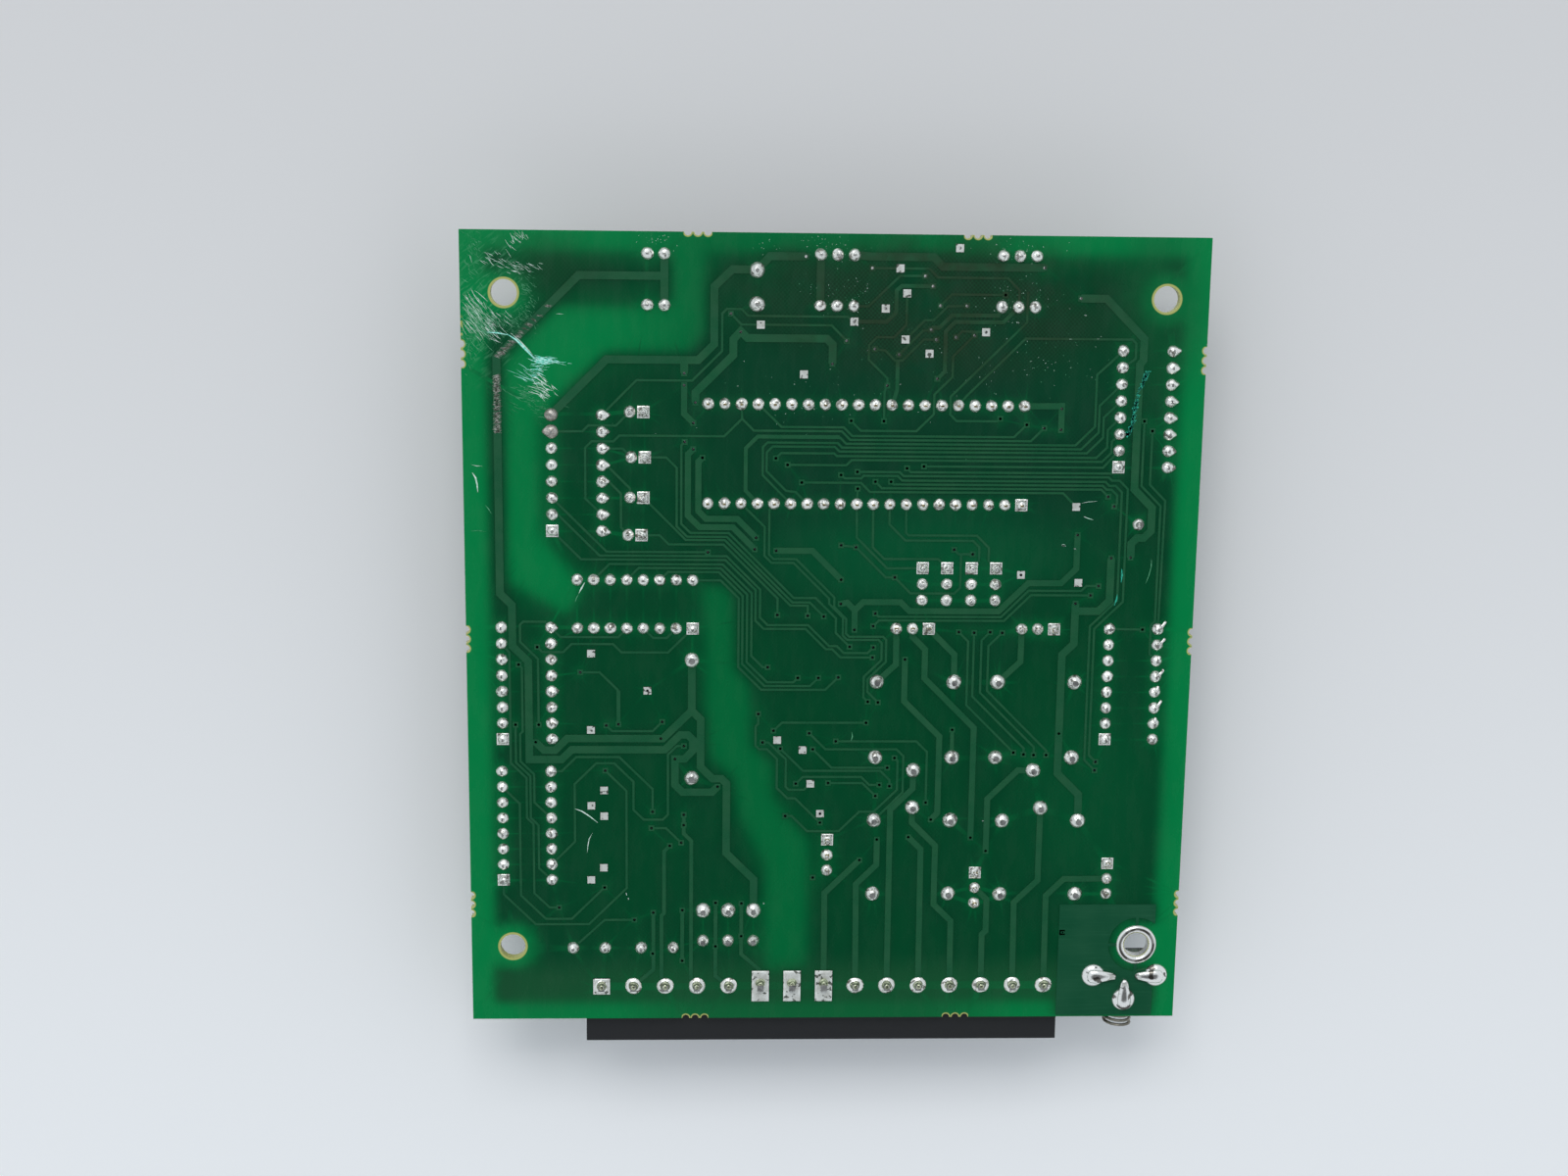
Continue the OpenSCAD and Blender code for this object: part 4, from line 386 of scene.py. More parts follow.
materials = {
    "laminate": mask_material(),
    "masked_copper": track_material(),
    "solder": solder_material(),
    "tinned_metal": metal("tinned_metal", (0.74, 0.73, 0.69), 0.28, 0.9),
    "gold_metal": metal("gold_metal", (0.75, 0.60, 0.30), 0.25, 0.9),
    "can_aluminium": metal("can_aluminium", (0.76, 0.76, 0.77), 0.3, 0.4),
    "spring_wire": metal("spring_wire", (0.30, 0.28, 0.23), 0.3, 0.9),
    "black_plastic": plain("black_plastic", srgb(28, 29, 31), 0.42),
    "blue_plastic": plain("blue_plastic", srgb(28, 66, 140), 0.35),
    "sleeve_film": plain("sleeve_film", srgb(24, 28, 46), 0.3),
    "bung_rubber": plain("bung_rubber", srgb(22, 22, 22), 0.7),
    "coated_ceramic": plain("coated_ceramic", srgb(34, 74, 150), 0.3, Coat_Weight=0.3),
    "film_box": plain("film_box", srgb(196, 188, 158), 0.5),
    "resistor_ceramic": plain("resistor_ceramic", srgb(206, 200, 182), 0.6),
    "chip_ceramic": plain("chip_ceramic", srgb(150, 120, 86), 0.5),
}
slot_of = {row["node"]: row["material_slot"] for row in frame["record"]["subparts"]}


def dress(obj, material):
    obj.data.materials.clear()
    obj.data.materials.append(material)


for name, obj in nodes.items():
    dress(obj, materials[slot_of[name]])
dress(nodes["chassis_pour"], pour_material())
tinned_pad = tin_material()
dress(nodes["test_pads"], tinned_pad)
dress(nodes["earth_bracket"], tinned_pad)


# ---- The laminate, with a fine mesh so that light through it can fade smoothly ----
def flat_cover(name, step):
    """Which points of a square grid over the board a flat node covers, as 0 or 1."""
    mesh = nodes[name].data
    mesh.calc_loop_triangles()
    columns = int(round((board_high.x - board_low.x) / step)) + 1
    rows = int(round((board_high.y - board_low.y) / step)) + 1
    cover = np.zeros((rows, columns))
    xs = board_low.x + np.arange(columns) * step
    ys = board_low.y + np.arange(rows) * step
    points = np.array([v.co for v in mesh.vertices]) / mm
    for tri in mesh.loop_triangles:
        if tri.normal.z < 0.5:
            continue
        a, b, c = points[list(tri.vertices)][:, :2]
        low = np.minimum(np.minimum(a, b), c)
        high = np.maximum(np.maximum(a, b), c)
        i0, i1 = np.searchsorted(xs, (low[0], high[0]))
        j0, j1 = np.searchsorted(ys, (low[1], high[1]))
        if i0 == i1 or j0 == j1:
            continue
        px, py = np.meshgrid(xs[i0:i1], ys[j0:j1])
        inside = np.ones(px.shape, bool)
        for p, q in ((a, b), (b, c), (c, a)):
            inside &= (q[0] - p[0]) * (py - p[1]) - (q[1] - p[1]) * (px - p[0]) >= 0
        cover[j0:j1, i0:i1][inside] = 1
    return cover


def blurred(field, radius):
    """Gaussian blur, radius in squares."""
    reach = int(3 * radius) + 1
    weights = np.exp(-0.5 * (np.arange(-reach, reach + 1) / radius) ** 2)
    weights /= weights.sum()
    for axis in (0, 1):
        padded = np.pad(field, [(reach, reach) if k == axis else (0, 0) for k in (0, 1)], mode="edge")
        field = np.apply_along_axis(lambda row: np.convolve(row, weights, "valid"), axis, padded)
    return field


# The fields' grid, and how far edges blur: the plane's, sharp and soft, and the tracks'
field_step = 0.25
sharp_blur = 0.7
soft_blur = 3.0
track_blur = 0.75


def light_fields():
    """Light that comes up through the board, and the shade beside the copper on its face."""
    step = field_step
    plane = flat_cover("component_plane", step)
    copper = np.maximum(flat_cover("tracks", step), flat_cover("chassis_pour", step))
    sharp = blurred(plane, sharp_blur / step)
    soft = blurred(plane, soft_blur / step)
    shade = blurred(copper, track_blur / step)
    xs = board_low.x + np.arange(plane.shape[1]) * step
    # edges are crisper near the board's sides, and the middle of the board is dimmer
    fade = 0.4 - 0.35 * np.clip((abs(xs) - 48) / 3, 0, 1)[None, :]
    light = np.clip((1 - ((1 - fade) * sharp + fade * soft) - 0.06) / 0.94, 0, 1) ** 0.85
    middle = np.clip((xs + 34) / 14, 0, 1) * np.clip((30 - xs) / 14, 0, 1)
    light = light * (1 - 0.42 * middle[None, :])
    return step, light * (1 - 0.75 * shade), shade


# Where the laminate's mesh is split: edge lengths and least area, in millimetres
fine_edge = 1.1
sliver_edge = 4.0
least_area = 0.3


def refined(points, triangles):
    """Splits the solder face's long edges at their middles, without gaps; slivers stay longer."""
    while True:
        sides = np.concatenate([triangles[:, [0, 1]], triangles[:, [1, 2]], triangles[:, [2, 0]]])
        edges, which = np.unique(np.sort(sides, axis=1), axis=0, return_inverse=True)
        ends = points[edges]
        length = np.linalg.norm(ends[:, 0] - ends[:, 1], axis=1)
        corner = points[triangles]
        normals = np.cross(corner[:, 1] - corner[:, 0], corner[:, 2] - corner[:, 0])
        area = 0.5 * np.linalg.norm(normals, axis=1)
        broad = np.zeros(len(edges), bool)
        broad[which.reshape(3, -1)[:, area > least_area]] = True
        marked = (ends[:, :, 2].min(axis=1) > -0.01) & (length > fine_edge) & (broad | (length > sliver_edge))
        if not marked.any():
            return points, triangles
        middle = np.full(len(edges), -1)
        middle[marked] = len(points) + np.arange(marked.sum())
        points = np.concatenate([points, ends[marked].mean(axis=1)])
        split = middle[which.reshape(-1)].reshape(3, -1).T
        pieces = []
        count = (split >= 0).sum(axis=1)
        pieces.append(triangles[count == 0])
        for k in range(3):
            a, b, c = (triangles[:, (k + n) % 3] for n in range(3))
            ab, bc, ca = (split[:, (k + n) % 3] for n in range(3))
            one = (count == 1) & (ab >= 0)
            pieces += [np.stack(t, 1)[one] for t in ((a, ab, c), (ab, b, c))]
            two = (count == 2) & (ca < 0)
            pieces += [np.stack(t, 1)[two] for t in ((ab, b, bc), (a, ab, bc), (a, bc, c))]
            if k == 0:
                three = count == 3
                corners = ((a, ab, ca), (ab, b, bc), (ca, bc, c), (ab, bc, ca))
                pieces += [np.stack(t, 1)[three] for t in corners]
        triangles = np.concatenate(pieces)


def sampled(field, step, points):
    """The field's value at each point, between its squares."""
    u = np.clip((points[:, 0] - board_low.x) / step, 0, field.shape[1] - 1.001)
    v = np.clip((points[:, 1] - board_low.y) / step, 0, field.shape[0] - 1.001)
    i, j = u.astype(int), v.astype(int)
    fu, fv = u - i, v - j
    lower = field[j, i] * (1 - fu) + field[j, i + 1] * fu
    upper = field[j + 1, i] * (1 - fu) + field[j + 1, i + 1] * fu
    return lower * (1 - fv) + upper * fv


def welded(name):
    """A CAD node's points in millimetres and its triangles, with doubled points joined."""
    mesh = nodes[name].data
    mesh.calc_loop_triangles()
    points = np.empty(len(mesh.vertices) * 3)
    mesh.vertices.foreach_get("co", points)
    triangles = np.empty(len(mesh.loop_triangles) * 3, int)
    mesh.loop_triangles.foreach_get("vertices", triangles)
    points = points.reshape(-1, 3) / mm
    _, first, back = np.unique(np.round(points, 3), axis=0, return_index=True, return_inverse=True)
    triangles = back.reshape(-1)[triangles].reshape(-1, 3)
    whole = (triangles[:, 0] != triangles[:, 1]) & (triangles[:, 1] != triangles[:, 2])
    whole &= triangles[:, 0] != triangles[:, 2]
    return points[first], triangles[whole]


def add_piece(name, mesh, material, slot, *replaced):
    piece = bpy.data.objects.new(name, mesh)
    bpy.context.scene.collection.objects.link(piece)
    dress(piece, material)
    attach(piece, "root")
    if replaced:
        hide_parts(*replaced)
    return piece


def laminate():
    points, triangles = refined(*welded("board"))
    mesh = bpy.data.meshes.new("masked_laminate")
    mesh.from_pydata((points * mm).tolist(), [], triangles.tolist())
    mesh.update()
    step, light, shade = light_fields()
    for name, field in (("light", light), ("shade", shade)):
        attribute = mesh.attributes.new(name, "FLOAT", "POINT")
        attribute.data.foreach_set("value", sampled(field, step, points).astype(np.float32))
    add_piece("masked_laminate", mesh, materials["laminate"], "laminate", "board")


laminate()


# ---- Solder ----
def islands(name):
    """The separate solids of a CAD node, as (lowest, highest) corners in millimetres."""
    points, triangles = welded(name)
    label = np.arange(len(points))
    pairs = np.concatenate([triangles[:, [0, 1]], triangles[:, [1, 2]]])
    while True:
        low = np.minimum(label[pairs[:, 0]], label[pairs[:, 1]])
        new = label.copy()
        np.minimum.at(new, pairs[:, 0], low)
        np.minimum.at(new, pairs[:, 1], low)
        new = new[new]
        if (new == label).all():
            break
        label = new
    return [(Vector(points[label == k].min(axis=0)), Vector(points[label == k].max(axis=0)))
            for k in np.unique(label)]


class Shape:
    """Vertices and faces gathered for one piece, in millimetres."""

    def __init__(self):
        self.verts = []
        self.faces = []
        self.marks = []
        self.mark = 0

    def face(self, *corners):
        self.faces.append(corners)
        self.marks.append(self.mark)

    def ring_stack(self, rings, closed_top=True):
        """Joins rings of equal length; the last one is closed by a fan to its middle."""
        start = len(self.verts)
        n = len(rings[0])
        for ring in rings:
            self.verts.extend(ring)
        for k in range(len(rings) - 1):
            a, b = start + k * n, start + (k + 1) * n
            for i in range(n):
                j = (i + 1) % n
                self.face(a + i, a + j, b + j, b + i)
        if closed_top:
            top = start + (len(rings) - 1) * n
            self.verts.append(tuple(np.mean(np.array(rings[-1]), axis=0)))
            for i in range(n):
                self.face(top + i, top + (i + 1) % n, len(self.verts) - 1)

    def pillow(self, outline, peak, z0, z1):
        """A thin tinned plate over an outline, swelling towards the point peak."""
        rings = []
        for share, rise in ((1.0, 0.0), (1.0, 0.55), (0.94, 0.8), (0.7, 0.93), (0.4, 1.0)):
            rings.append([(peak[0] + (x - peak[0]) * share, peak[1] + (y - peak[1]) * share,
                           z0 + (z1 - z0) * rise) for x, y in outline])
        self.ring_stack(rings)

    def stroke(self, points, width, z):
        """A flat sliver along points, pointed at both ends."""
        start = len(self.verts)
        count = len(points)
        for k, (x, y) in enumerate(points):
            before, after = points[max(k - 1, 0)], points[min(k + 1, count - 1)]
            dx, dy = after[0] - before[0], after[1] - before[1]
            size = math.hypot(dx, dy) or 1.0
            half = 0.5 * width * (math.sin(math.pi * (k + 0.15) / (count - 0.7)) + 0.05)
            for side in (-1, 1):
                self.verts.append((x - side * dy / size * half, y + side * dx / size * half, z))
        for k in range(count - 1):
            a = start + 2 * k
            self.face(a + 1, a, a + 2, a + 3)

    def piece(self, name, finishes, slot, *replaced, smooth=True):
        mesh = bpy.data.meshes.new(name)
        verts = [(x * mm, y * mm, min(z, solder_top) * mm) for x, y, z in self.verts]
        mesh.from_pydata(verts, [], self.faces)
        mesh.update()
        if smooth:
            mesh.polygons.foreach_set("use_smooth", [True] * len(mesh.polygons))
        piece = add_piece(name, mesh, finishes[0], slot, *replaced)
        for finish in finishes[1:]:
            piece.data.materials.append(finish)
        mesh.polygons.foreach_set("material_index", self.marks)


def turns(count):
    """Angles evenly round a circle."""
    return [2 * math.pi * k / count for k in range(count)]


# Rings of a joint, as shares of its radius
joint_rings = (1.0, 0.97, 0.9, 0.8, 0.69, 0.57, 0.46, 0.36, 0.27, 0.18, 0.08)


def joint(shape, x, y, radius, height, tail=None, segments=24, lead=0.3, seam=None, tip=0.0):
    """One solder joint: a dome with the lead's tip in it, a crease beside the lead, and maybe a tail."""
    seam = rng.uniform(0, 2 * math.pi) if seam is None else seam
    seam_depth = rng.uniform(0.12, 0.3) * height
    lean = rng.uniform(0, 2 * math.pi)
    lean_size = rng.uniform(0.0, 0.08)
    ripple = rng.uniform(0, 2 * math.pi)
    wave = rng.uniform(0, 2 * math.pi)
    rings = []
    for share in joint_rings:
        ring = []
        rise = 0.0 if share == 1.0 else height * (1 - share ** 2.2) ** 0.8
        if share * radius < lead:
            rise = max(rise + 0.1 * height, tip)
        for a in turns(segments):
            r = radius * share * (1 + 0.025 * math.sin(2 * a + ripple) + 0.012 * math.sin(5 * a - ripple))
            z = rise
            off = math.cos(a - seam)
            if off > 0.86 and 0.1 < share < 0.93:
                z -= seam_depth * (off - 0.86) / 0.14 * math.sin(math.pi * share)
            if share < 0.93:
                z += 0.05 * height * math.sin(3 * a + ripple + 5 * share) * math.sin(7 * share + wave)
            px = x + r * math.cos(a) + lean_size * math.cos(lean) * (1 - share)
            py = y + r * math.sin(a) + lean_size * math.sin(lean) * (1 - share)
            if tail:
                angle, length = tail
                along = max(0.0, math.cos(a - angle)) ** 9
                px += math.cos(angle) * length * along * share
                py += math.sin(angle) * length * along * share
                z += 0.18 * height * along * (0.2 < share < 0.97)
            ring.append((px, py, max(z, 0.0)))
        rings.append(ring)
    shape.ring_stack(rings)


# Along a bent lead: share of its length, half its width as a share, height
lead_profile = ((0.0, 0.5, 0.5), (0.15, 0.5, 0.92), (0.5, 0.5, 0.85), (0.92, 0.48, 0.72), (1.0, 0.3, 0.66))


def bent_lead(shape, x, y, angle, length, width):
    """A flat lead left long and bent over, lying on its joint."""
    c, s = math.cos(angle), math.sin(angle)
    rings = []
    for along, half, z in lead_profile:
        ring = []
        for side, up in ((-1, -0.12), (1, -0.12), (1, 0.06), (-1, 0.06)):
            across = side * half * width
            ring.append((x + c * along * length - s * across, y + s * along * length + c * across, z + up))
        rings.append(ring)
    shape.ring_stack(rings)


def rectangle(x, y, w, h, per_side=4):
    """An outline with a few points along each side."""
    corners = [(x - w / 2, y - h / 2), (x + w / 2, y - h / 2), (x + w / 2, y + h / 2), (x - w / 2, y + h / 2)]
    outline = []
    for (ax, ay), (bx, by) in zip(corners, corners[1:] + corners[:1]):
        outline += [(ax + (bx - ax) * k / per_side, ay + (by - ay) * k / per_side) for k in range(per_side)]
    return outline


# Leads left long on the right-hand chip: height up the board, direction in degrees, length
long_leads = ((0.5, 52, 1.75), (-2.1, 48, 1.6), (-4.6, 68, 1.0), (-7.2, 50, 1.7), (-9.7, 72, 1.25),
              (-12.2, 55, 1.7), (-14.8, 82, 1.2))
# Round joints below this place up the board keep this share of their size
low_row_y = -50
low_row_share = 0.82
# Two large dull joints, one above the other: height up the board, direction and length of the tail
dull_x = -43.1
dull_joints = ((33.3, 0, 0.0), (30.75, 180, 0.4))
left_chip_x = -35.5
middle_chip_x = -43.5
top_right_chip_x = 51.3
right_chip_x = 51.0
# Joints between these widths sit on a square pad
square_pad = (1.88, 2.0)


def solder_tail(x, y):
    """The small point that some chips' joints are drawn out to, as (direction, length)."""
    if abs(x - left_chip_x) < 0.3 and y > 10:
        return rng.uniform(-0.15, 0.1), rng.uniform(0.3, 0.5)
    if abs(x - top_right_chip_x) < 0.35 and y > 20:
        return rng.uniform(-0.1, 0.12), rng.uniform(0.3, 0.45)
    if abs(x - middle_chip_x) < 0.6 and -20 < y < 3:
        return rng.uniform(-0.2, 0.2), rng.uniform(0.05, 0.3)
    return None


def seam_of(x, y):
    """Creases lie level at the left and the upper right, where chips stand upright, and elsewhere any way."""
    if x < -34 or (x > 40 and y > 20):
        return rng.choice((0.0, math.pi)) + rng.uniform(-0.25, 0.25)
    return None


def solder_pieces():
    dull = metal("solder_dull", (0.62, 0.57, 0.52), 0.34, 2.2, 0.2, tint=(0.30, 0.27, 0.24))
    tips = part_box("jumper_pins")[1].z / mm + 0.05
    for node, name, height, lead in (("solder_chips", "chip_joints", 0.7, 0.26),
                                     ("solder_small", "small_joints", 0.7, 0.34),
                                     ("solder_power", "power_joints", 0.9, 0.5)):
        shape = Shape()
        for low, high in islands(node):
            x, y = (low.x + high.x) / 2, (low.y + high.y) / 2
            width = high.x - low.x
            tail, seam = solder_tail(x, y), seam_of(x, y)
            tip = tips if node == "solder_small" else 0.0
            shape.mark = 0
            if square_pad[0] < width < square_pad[1]:
                shape.pillow(rectangle(x, y, width, width), (x, y), 0.0, 0.16)
                joint(shape, x, y, 0.45 * width, height, tail, lead=lead, seam=seam, tip=tip)
            else:
                size = 0.52 * width * rng.uniform(0.97, 1.03)
                if y < low_row_y:
                    size *= low_row_share
                for row, angle, length in dull_joints:
                    if abs(x - dull_x) < 0.3 and abs(y - row) < 0.6:
                        size *= 1.12
                        tail = (math.radians(angle), length) if length else None
                        shape.mark = 1
                joint(shape, x, y, size, height * rng.uniform(0.9, 1.1), tail, lead=lead, seam=seam, tip=tip)
            if node == "solder_chips" and abs(x - right_chip_x) < 0.35:
                for row, angle, length in long_leads:
                    if abs(y - row) < 0.6:
                        bent_lead(shape, x, y, math.radians(angle), length, 0.42)
        shape.piece(name, [materials["solder"], dull], "solder", node)


# The cone of solder round a header pin: radius, and height above its foot
cone_profile = ((0.8, 0.0), (0.74, 0.16), (0.64, 0.24), (0.52, 0.42), (0.43, 0.62), (0.4, 0.72), (0.3, 0.8))


def header_joints():
    """Shiny domes on wide pads, with a steep cone of solder round each thick pin, its greenish yellow a
    painted reflection of the green board.
    """
    shape = Shape()
    for low, high in islands("solder_header"):
        x, y = (low.x + high.x) / 2, (low.y + high.y) / 2
        w, h = high.x - low.x, high.y - low.y
        long_pad = h > 4
        peak = (x, y + 0.55 if long_pad else y + 0.15)
        shape.mark = 0
        if long_pad:
            shape.pillow(rectangle(x, y, w, h, 8), peak, 0.0, 0.34)
        elif low.x < -35:
            shape.pillow(rectangle(x, y, w, w, 8), peak, 0.0, 0.3)
        shape.mark = 1
        if not long_pad:
            joint(shape, x, y, 0.5 * w, 0.55, segments=32, lead=0.0)
        shape.mark = 2
        start = 0.3 if long_pad else 0.42
        ripple = rng.uniform(0, 6.28)
        rings = []
        for r, rise in cone_profile:
            rings.append([(peak[0] + r * math.cos(a) * (1 + 0.06 * math.sin(3 * a + ripple)),
                           peak[1] + r * math.sin(a) * (1 + 0.06 * math.cos(2 * a + ripple)), start + rise)
                          for a in turns(28)])
        shape.ring_stack(rings)
    # painted reflection: the cone's pale greenish yellow over dark patches stands in for the green board
    # mirrored in its steep sides
    green_reflection_cone = metal("solder_cone", (0.80, 0.84, 0.58), 0.14, 1.6, 0.2, tint=(0.20, 0.22, 0.15))
    shape.piece("header_joints", [tinned_pad, materials["solder"], green_reflection_cone], "solder", "solder_header")


# Solder at a tab's foot: radius and height
foot_profile = (
    (1.88, 0.0), (1.84, 0.16), (1.7, 0.34), (1.45, 0.52), (1.15, 0.66), (0.8, 0.76), (0.4, 0.8),
)
# A bent tab under its solder: distance along it, half width, top
tongue_profile = (
    (-1.05, 0.3, 0.72), (-0.95, 0.75, 0.9), (-0.6, 1.05, 1.08), (0.2, 1.12, 1.2), (1.1, 1.0, 1.16),
    (2.0, 0.82, 1.02), (2.8, 0.62, 0.86), (3.2, 0.46, 0.74), (3.4, 0.28, 0.62), (3.46, 0.12, 0.5),
)
tongue_base = 0.15
# The lower tab's foot lies between these places across the board
lower_tab = (46, 51)


def tongue_joints():
    """Three tabs bent over towards each other, each buried in solder at its foot."""
    shape = Shape()
    for low, high in islands("solder_earth"):
        x, y = (low.x + high.x) / 2, (low.y + high.y) / 2
        toward = 0.0 if x < lower_tab[0] else (math.pi if x > lower_tab[1] else math.pi / 2)
        if lower_tab[0] < x < lower_tab[1]:
            crescent = x, y
        c, s = math.cos(toward), math.sin(toward)
        rings = []
        for r, z in foot_profile:
            rings.append([(x + r * math.cos(a), y + r * math.sin(a), z) for a in turns(40)])
        shape.ring_stack(rings)
        rings = []
        for along, half, top in tongue_profile:
            ring = []
            for a in turns(20):
                across = half * math.cos(a)
                lift = 0.5 + 0.5 * math.sin(a)
                ring.append((x + c * along - s * across, y + s * along + c * across,
                             tongue_base + (top - tongue_base) * lift))
            rings.append(ring)
        shape.ring_stack(rings)
    x, y = crescent
    for spread, z in ((1.28, 0.64), (1.42, 0.58)):
        shape.mark = 1
        shape.stroke([(x + spread * math.cos(a), y + spread * math.sin(a)) for a in
                      (math.radians(d) for d in range(-150, -29, 8))], 0.3, z)
    dark = metal("solder_shadow", (0.30, 0.29, 0.26), 0.3)
    shape.piece("earth_joints", [broad_solder(), dark], "solder", "solder_earth")


# The tinned ring's bead: distance in from its outer edge, height
bead_profile = (
    (0.0, 0.0), (0.03, 0.14), (0.16, 0.27), (0.38, 0.38), (0.62, 0.42), (0.86, 0.36), (1.06, 0.22),
    (1.2, 0.0), (1.28, -0.25), (1.31, -0.6), (1.31, -1.55),
)


def ring_joint():
    """The tinned ring of the earthed hole: a rounded bead of solder that runs down into the hole."""
    low, high = (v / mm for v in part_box("earth_ring"))
    x, y = (low.x + high.x) / 2, (low.y + high.y) / 2
    outer = (high.x - low.x) / 2
    shape = Shape()
    rings = []
    for inward, z in bead_profile:
        r = outer - inward
        wobble = rng.uniform(0, 6.28)
        rings.append([(x + r * math.cos(a), y + r * math.sin(a), z * (1 + 0.1 * math.sin(3 * a + wobble)))
                      for a in turns(64)])
    shape.ring_stack(rings, closed_top=False)
    shape.piece("earth_ring_bead", [ring_material()], "solder", "earth_ring")


solder_pieces()
header_joints()
tongue_joints()
ring_joint()


# ---- Wear ----
track_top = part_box("tracks")[1].z / mm
on_mask = 0.015
on_track = track_top + on_mask
# Patches draw this many strokes for each one in the table, right of the limit and off the hole
strokes_each = 1.5
left_limit = -56.2
hole_margin = 0.9


def scratch(shape, start, length, angle, width, z, bow=0.06):
    bend = rng.uniform(-bow, bow) * length
    c, s = math.cos(math.radians(angle)), math.sin(math.radians(angle))
    reach = 0.5 * length + 0.1
    if not (board_low.x + abs(c) * reach < start[0] < board_high.x - abs(c) * reach
            and board_low.y + abs(s) * reach < start[1] < board_high.y - abs(s) * reach):
        return
    points = []
    for k in range(5):
        t = k / 4 - 0.5
        off = bend * (1 - 4 * t * t)
        points.append((start[0] + c * length * t - s * off, start[1] + s * length * t + c * off))
    shape.stroke(points, width, z)


# Patches of fine strokes: centre, spread, direction and its spread, how many, length, width, and
# finish, which is 0 for pale, 1 for cyan, 2 for green and 3 for teal
scuffed = [
    ((-47.5, 59.5), (0.8, 0.9), -52, 14, 16, 1.3, 0.10, 0),
    ((-51.4, 56.4), (1.5, 0.6), -32, 12, 12, 1.2, 0.10, 0),
    ((-47.9, 55.2), (1.5, 0.6), -24, 12, 22, 1.1, 0.08, 0),
    ((-54.6, 57.0), (0.8, 2.6), -48, 18, 34, 0.9, 0.07, 2),
    ((-54.4, 48.8), (0.8, 1.5), -52, 9, 34, 2.3, 0.10, 0),
    ((-53.2, 46.6), (1.2, 1.4), -48, 10, 60, 2.2, 0.08, 2),
    ((-52.0, 46.4), (1.3, 1.0), -44, 12, 34, 1.8, 0.09, 0),
    ((-46.6, 50.5), (0.8, 2.6), -38, 25, 60, 0.9, 0.06, 2),
    ((-49.6, 47.4), (1.6, 1.0), -35, 25, 60, 0.7, 0.06, 2),
    ((-55.2, 43.6), (0.5, 2.0), -60, 20, 22, 0.8, 0.08, 2),
    ((-46.2, 39.0), (1.2, 0.6), -22, 14, 26, 1.6, 0.09, 1),
    ((-44.6, 38.6), (0.5, 0.5), -30, 14, 10, 1.1, 0.16, 0),
    ((-44.1, 37.0), (0.8, 0.7), -35, 16, 24, 1.4, 0.12, 0),
    ((-46.9, 36.6), (1.4, 0.6), -18, 12, 26, 1.5, 0.07, 2),
    ((-45.3, 34.6), (1.6, 0.9), -20, 12, 22, 1.3, 0.06, 2),
    ((-44.4, 41.3), (0.9, 0.35), -8, 14, 30, 1.6, 0.14, 1),
    ((-45.0, 40.5), (0.6, 0.4), -4, 12, 12, 1.0, 0.12, 1),
    ((-43.0, 41.2), (1.2, 0.18), -2, 8, 14, 1.6, 0.12, 1),
]
# Single scratches: their points, width and finish
single_scratches = [
    ([(-52.6, 45.6), (-51.0, 45.5), (-49.3, 45.2)], 0.22, 1),
    ([(-49.6, 45.4), (-48.2, 44.5), (-46.9, 43.2), (-45.6, 41.9), (-44.8, 41.2)], 0.34, 1),
    ([(-49.0, 45.5), (-47.6, 44.3), (-46.3, 42.9), (-45.2, 41.5)], 0.16, 0),
    ([(-42.2, 48.4), (-41.6, 48.42), (-41.1, 48.4)], 0.07, 0),
    ([(-55.2, 25.6), (-54.4, 25.4), (-53.6, 25.4)], 0.08, 0),
    ([(-55.1, 24.4), (-54.6, 23.6), (-54.4, 22.6), (-54.3, 21.4)], 0.26, 0),
    ([(-53.2, 19.4), (-52.7, 18.8), (-52.3, 18.1)], 0.12, 2),
    ([(-55.4, 15.4), (-54.4, 15.5), (-53.2, 15.3)], 0.06, 2),
    ([(-38.2, 7.5), (-38.7, 6.6), (-39.1, 5.8)], 0.24, 0),
    ([(-39.1, 5.8), (-39.5, 5.0), (-39.7, 4.4)], 0.08, 2),
    ([(-40.0, -28.7), (-38.9, -29.1), (-37.6, -30.0), (-36.4, -31.0)], 0.2, 0),
    ([(-37.3, -32.7), (-37.8, -33.7), (-38.0, -34.8), (-38.1, -35.9)], 0.12, 0),
    ([(-32.0, -42.6), (-31.9, -43.0)], 0.2, 0),
    ([(-31.7, -43.4), (-31.6, -43.7)], 0.18, 0),
    ([(38.2, 20.3), (39.3, 20.5), (40.6, 20.6)], 0.07, 0),
    ([(38.6, 18.2), (39.4, 17.9), (40.1, 17.7)], 0.14, 0),
    ([(49.5, 11.6), (49.5, 10.4), (49.2, 9.0), (48.7, 7.6)], 0.12, 2),
    ([(44.9, 10.0), (45.0, 9.0), (44.9, 7.9)], 0.3, 3),
    ([(44.4, 6.0), (44.3, 5.2), (44.0, 4.2)], 0.26, 3),
    ([(3.4, -16.2), (3.5, -16.9), (3.3, -17.6)], 0.14, 2),
]
# The wide track by the left edge is rubbed through in bands: place, direction of the hatch, length.
# They run up the track, and then along its slanting part at the steps given.
rub_x = -51.2
rub_steps = (0.1, 0.35, 0.6, 0.8, 1.0, 1.2, 1.45, 1.7, 2.0, 2.3, 2.5, 3.3, 3.5, 3.9, 4.4, 4.9, 5.1,
             5.8, 6.5, 7.9, 8.05)
track_rubs = [((rub_x, y), 12 + 8 * math.sin(7 * y), 1.3) for y in np.arange(30.5, 39.2, 0.22)]
track_rubs += [((rub_x + 0.98 * t, 41.8 + 0.98 * t), -20 + 10 * math.sin(5 * t), 1.2) for t in rub_steps]
# A dotted teal smear beside the top right chip
smear_path = (
    (47.5, 40.6), (47.0, 39.2), (46.2, 37.0), (45.9, 35.0), (45.6, 33.0), (45.2, 31.4), (44.8, 30.8),
)
smear_dots = 48
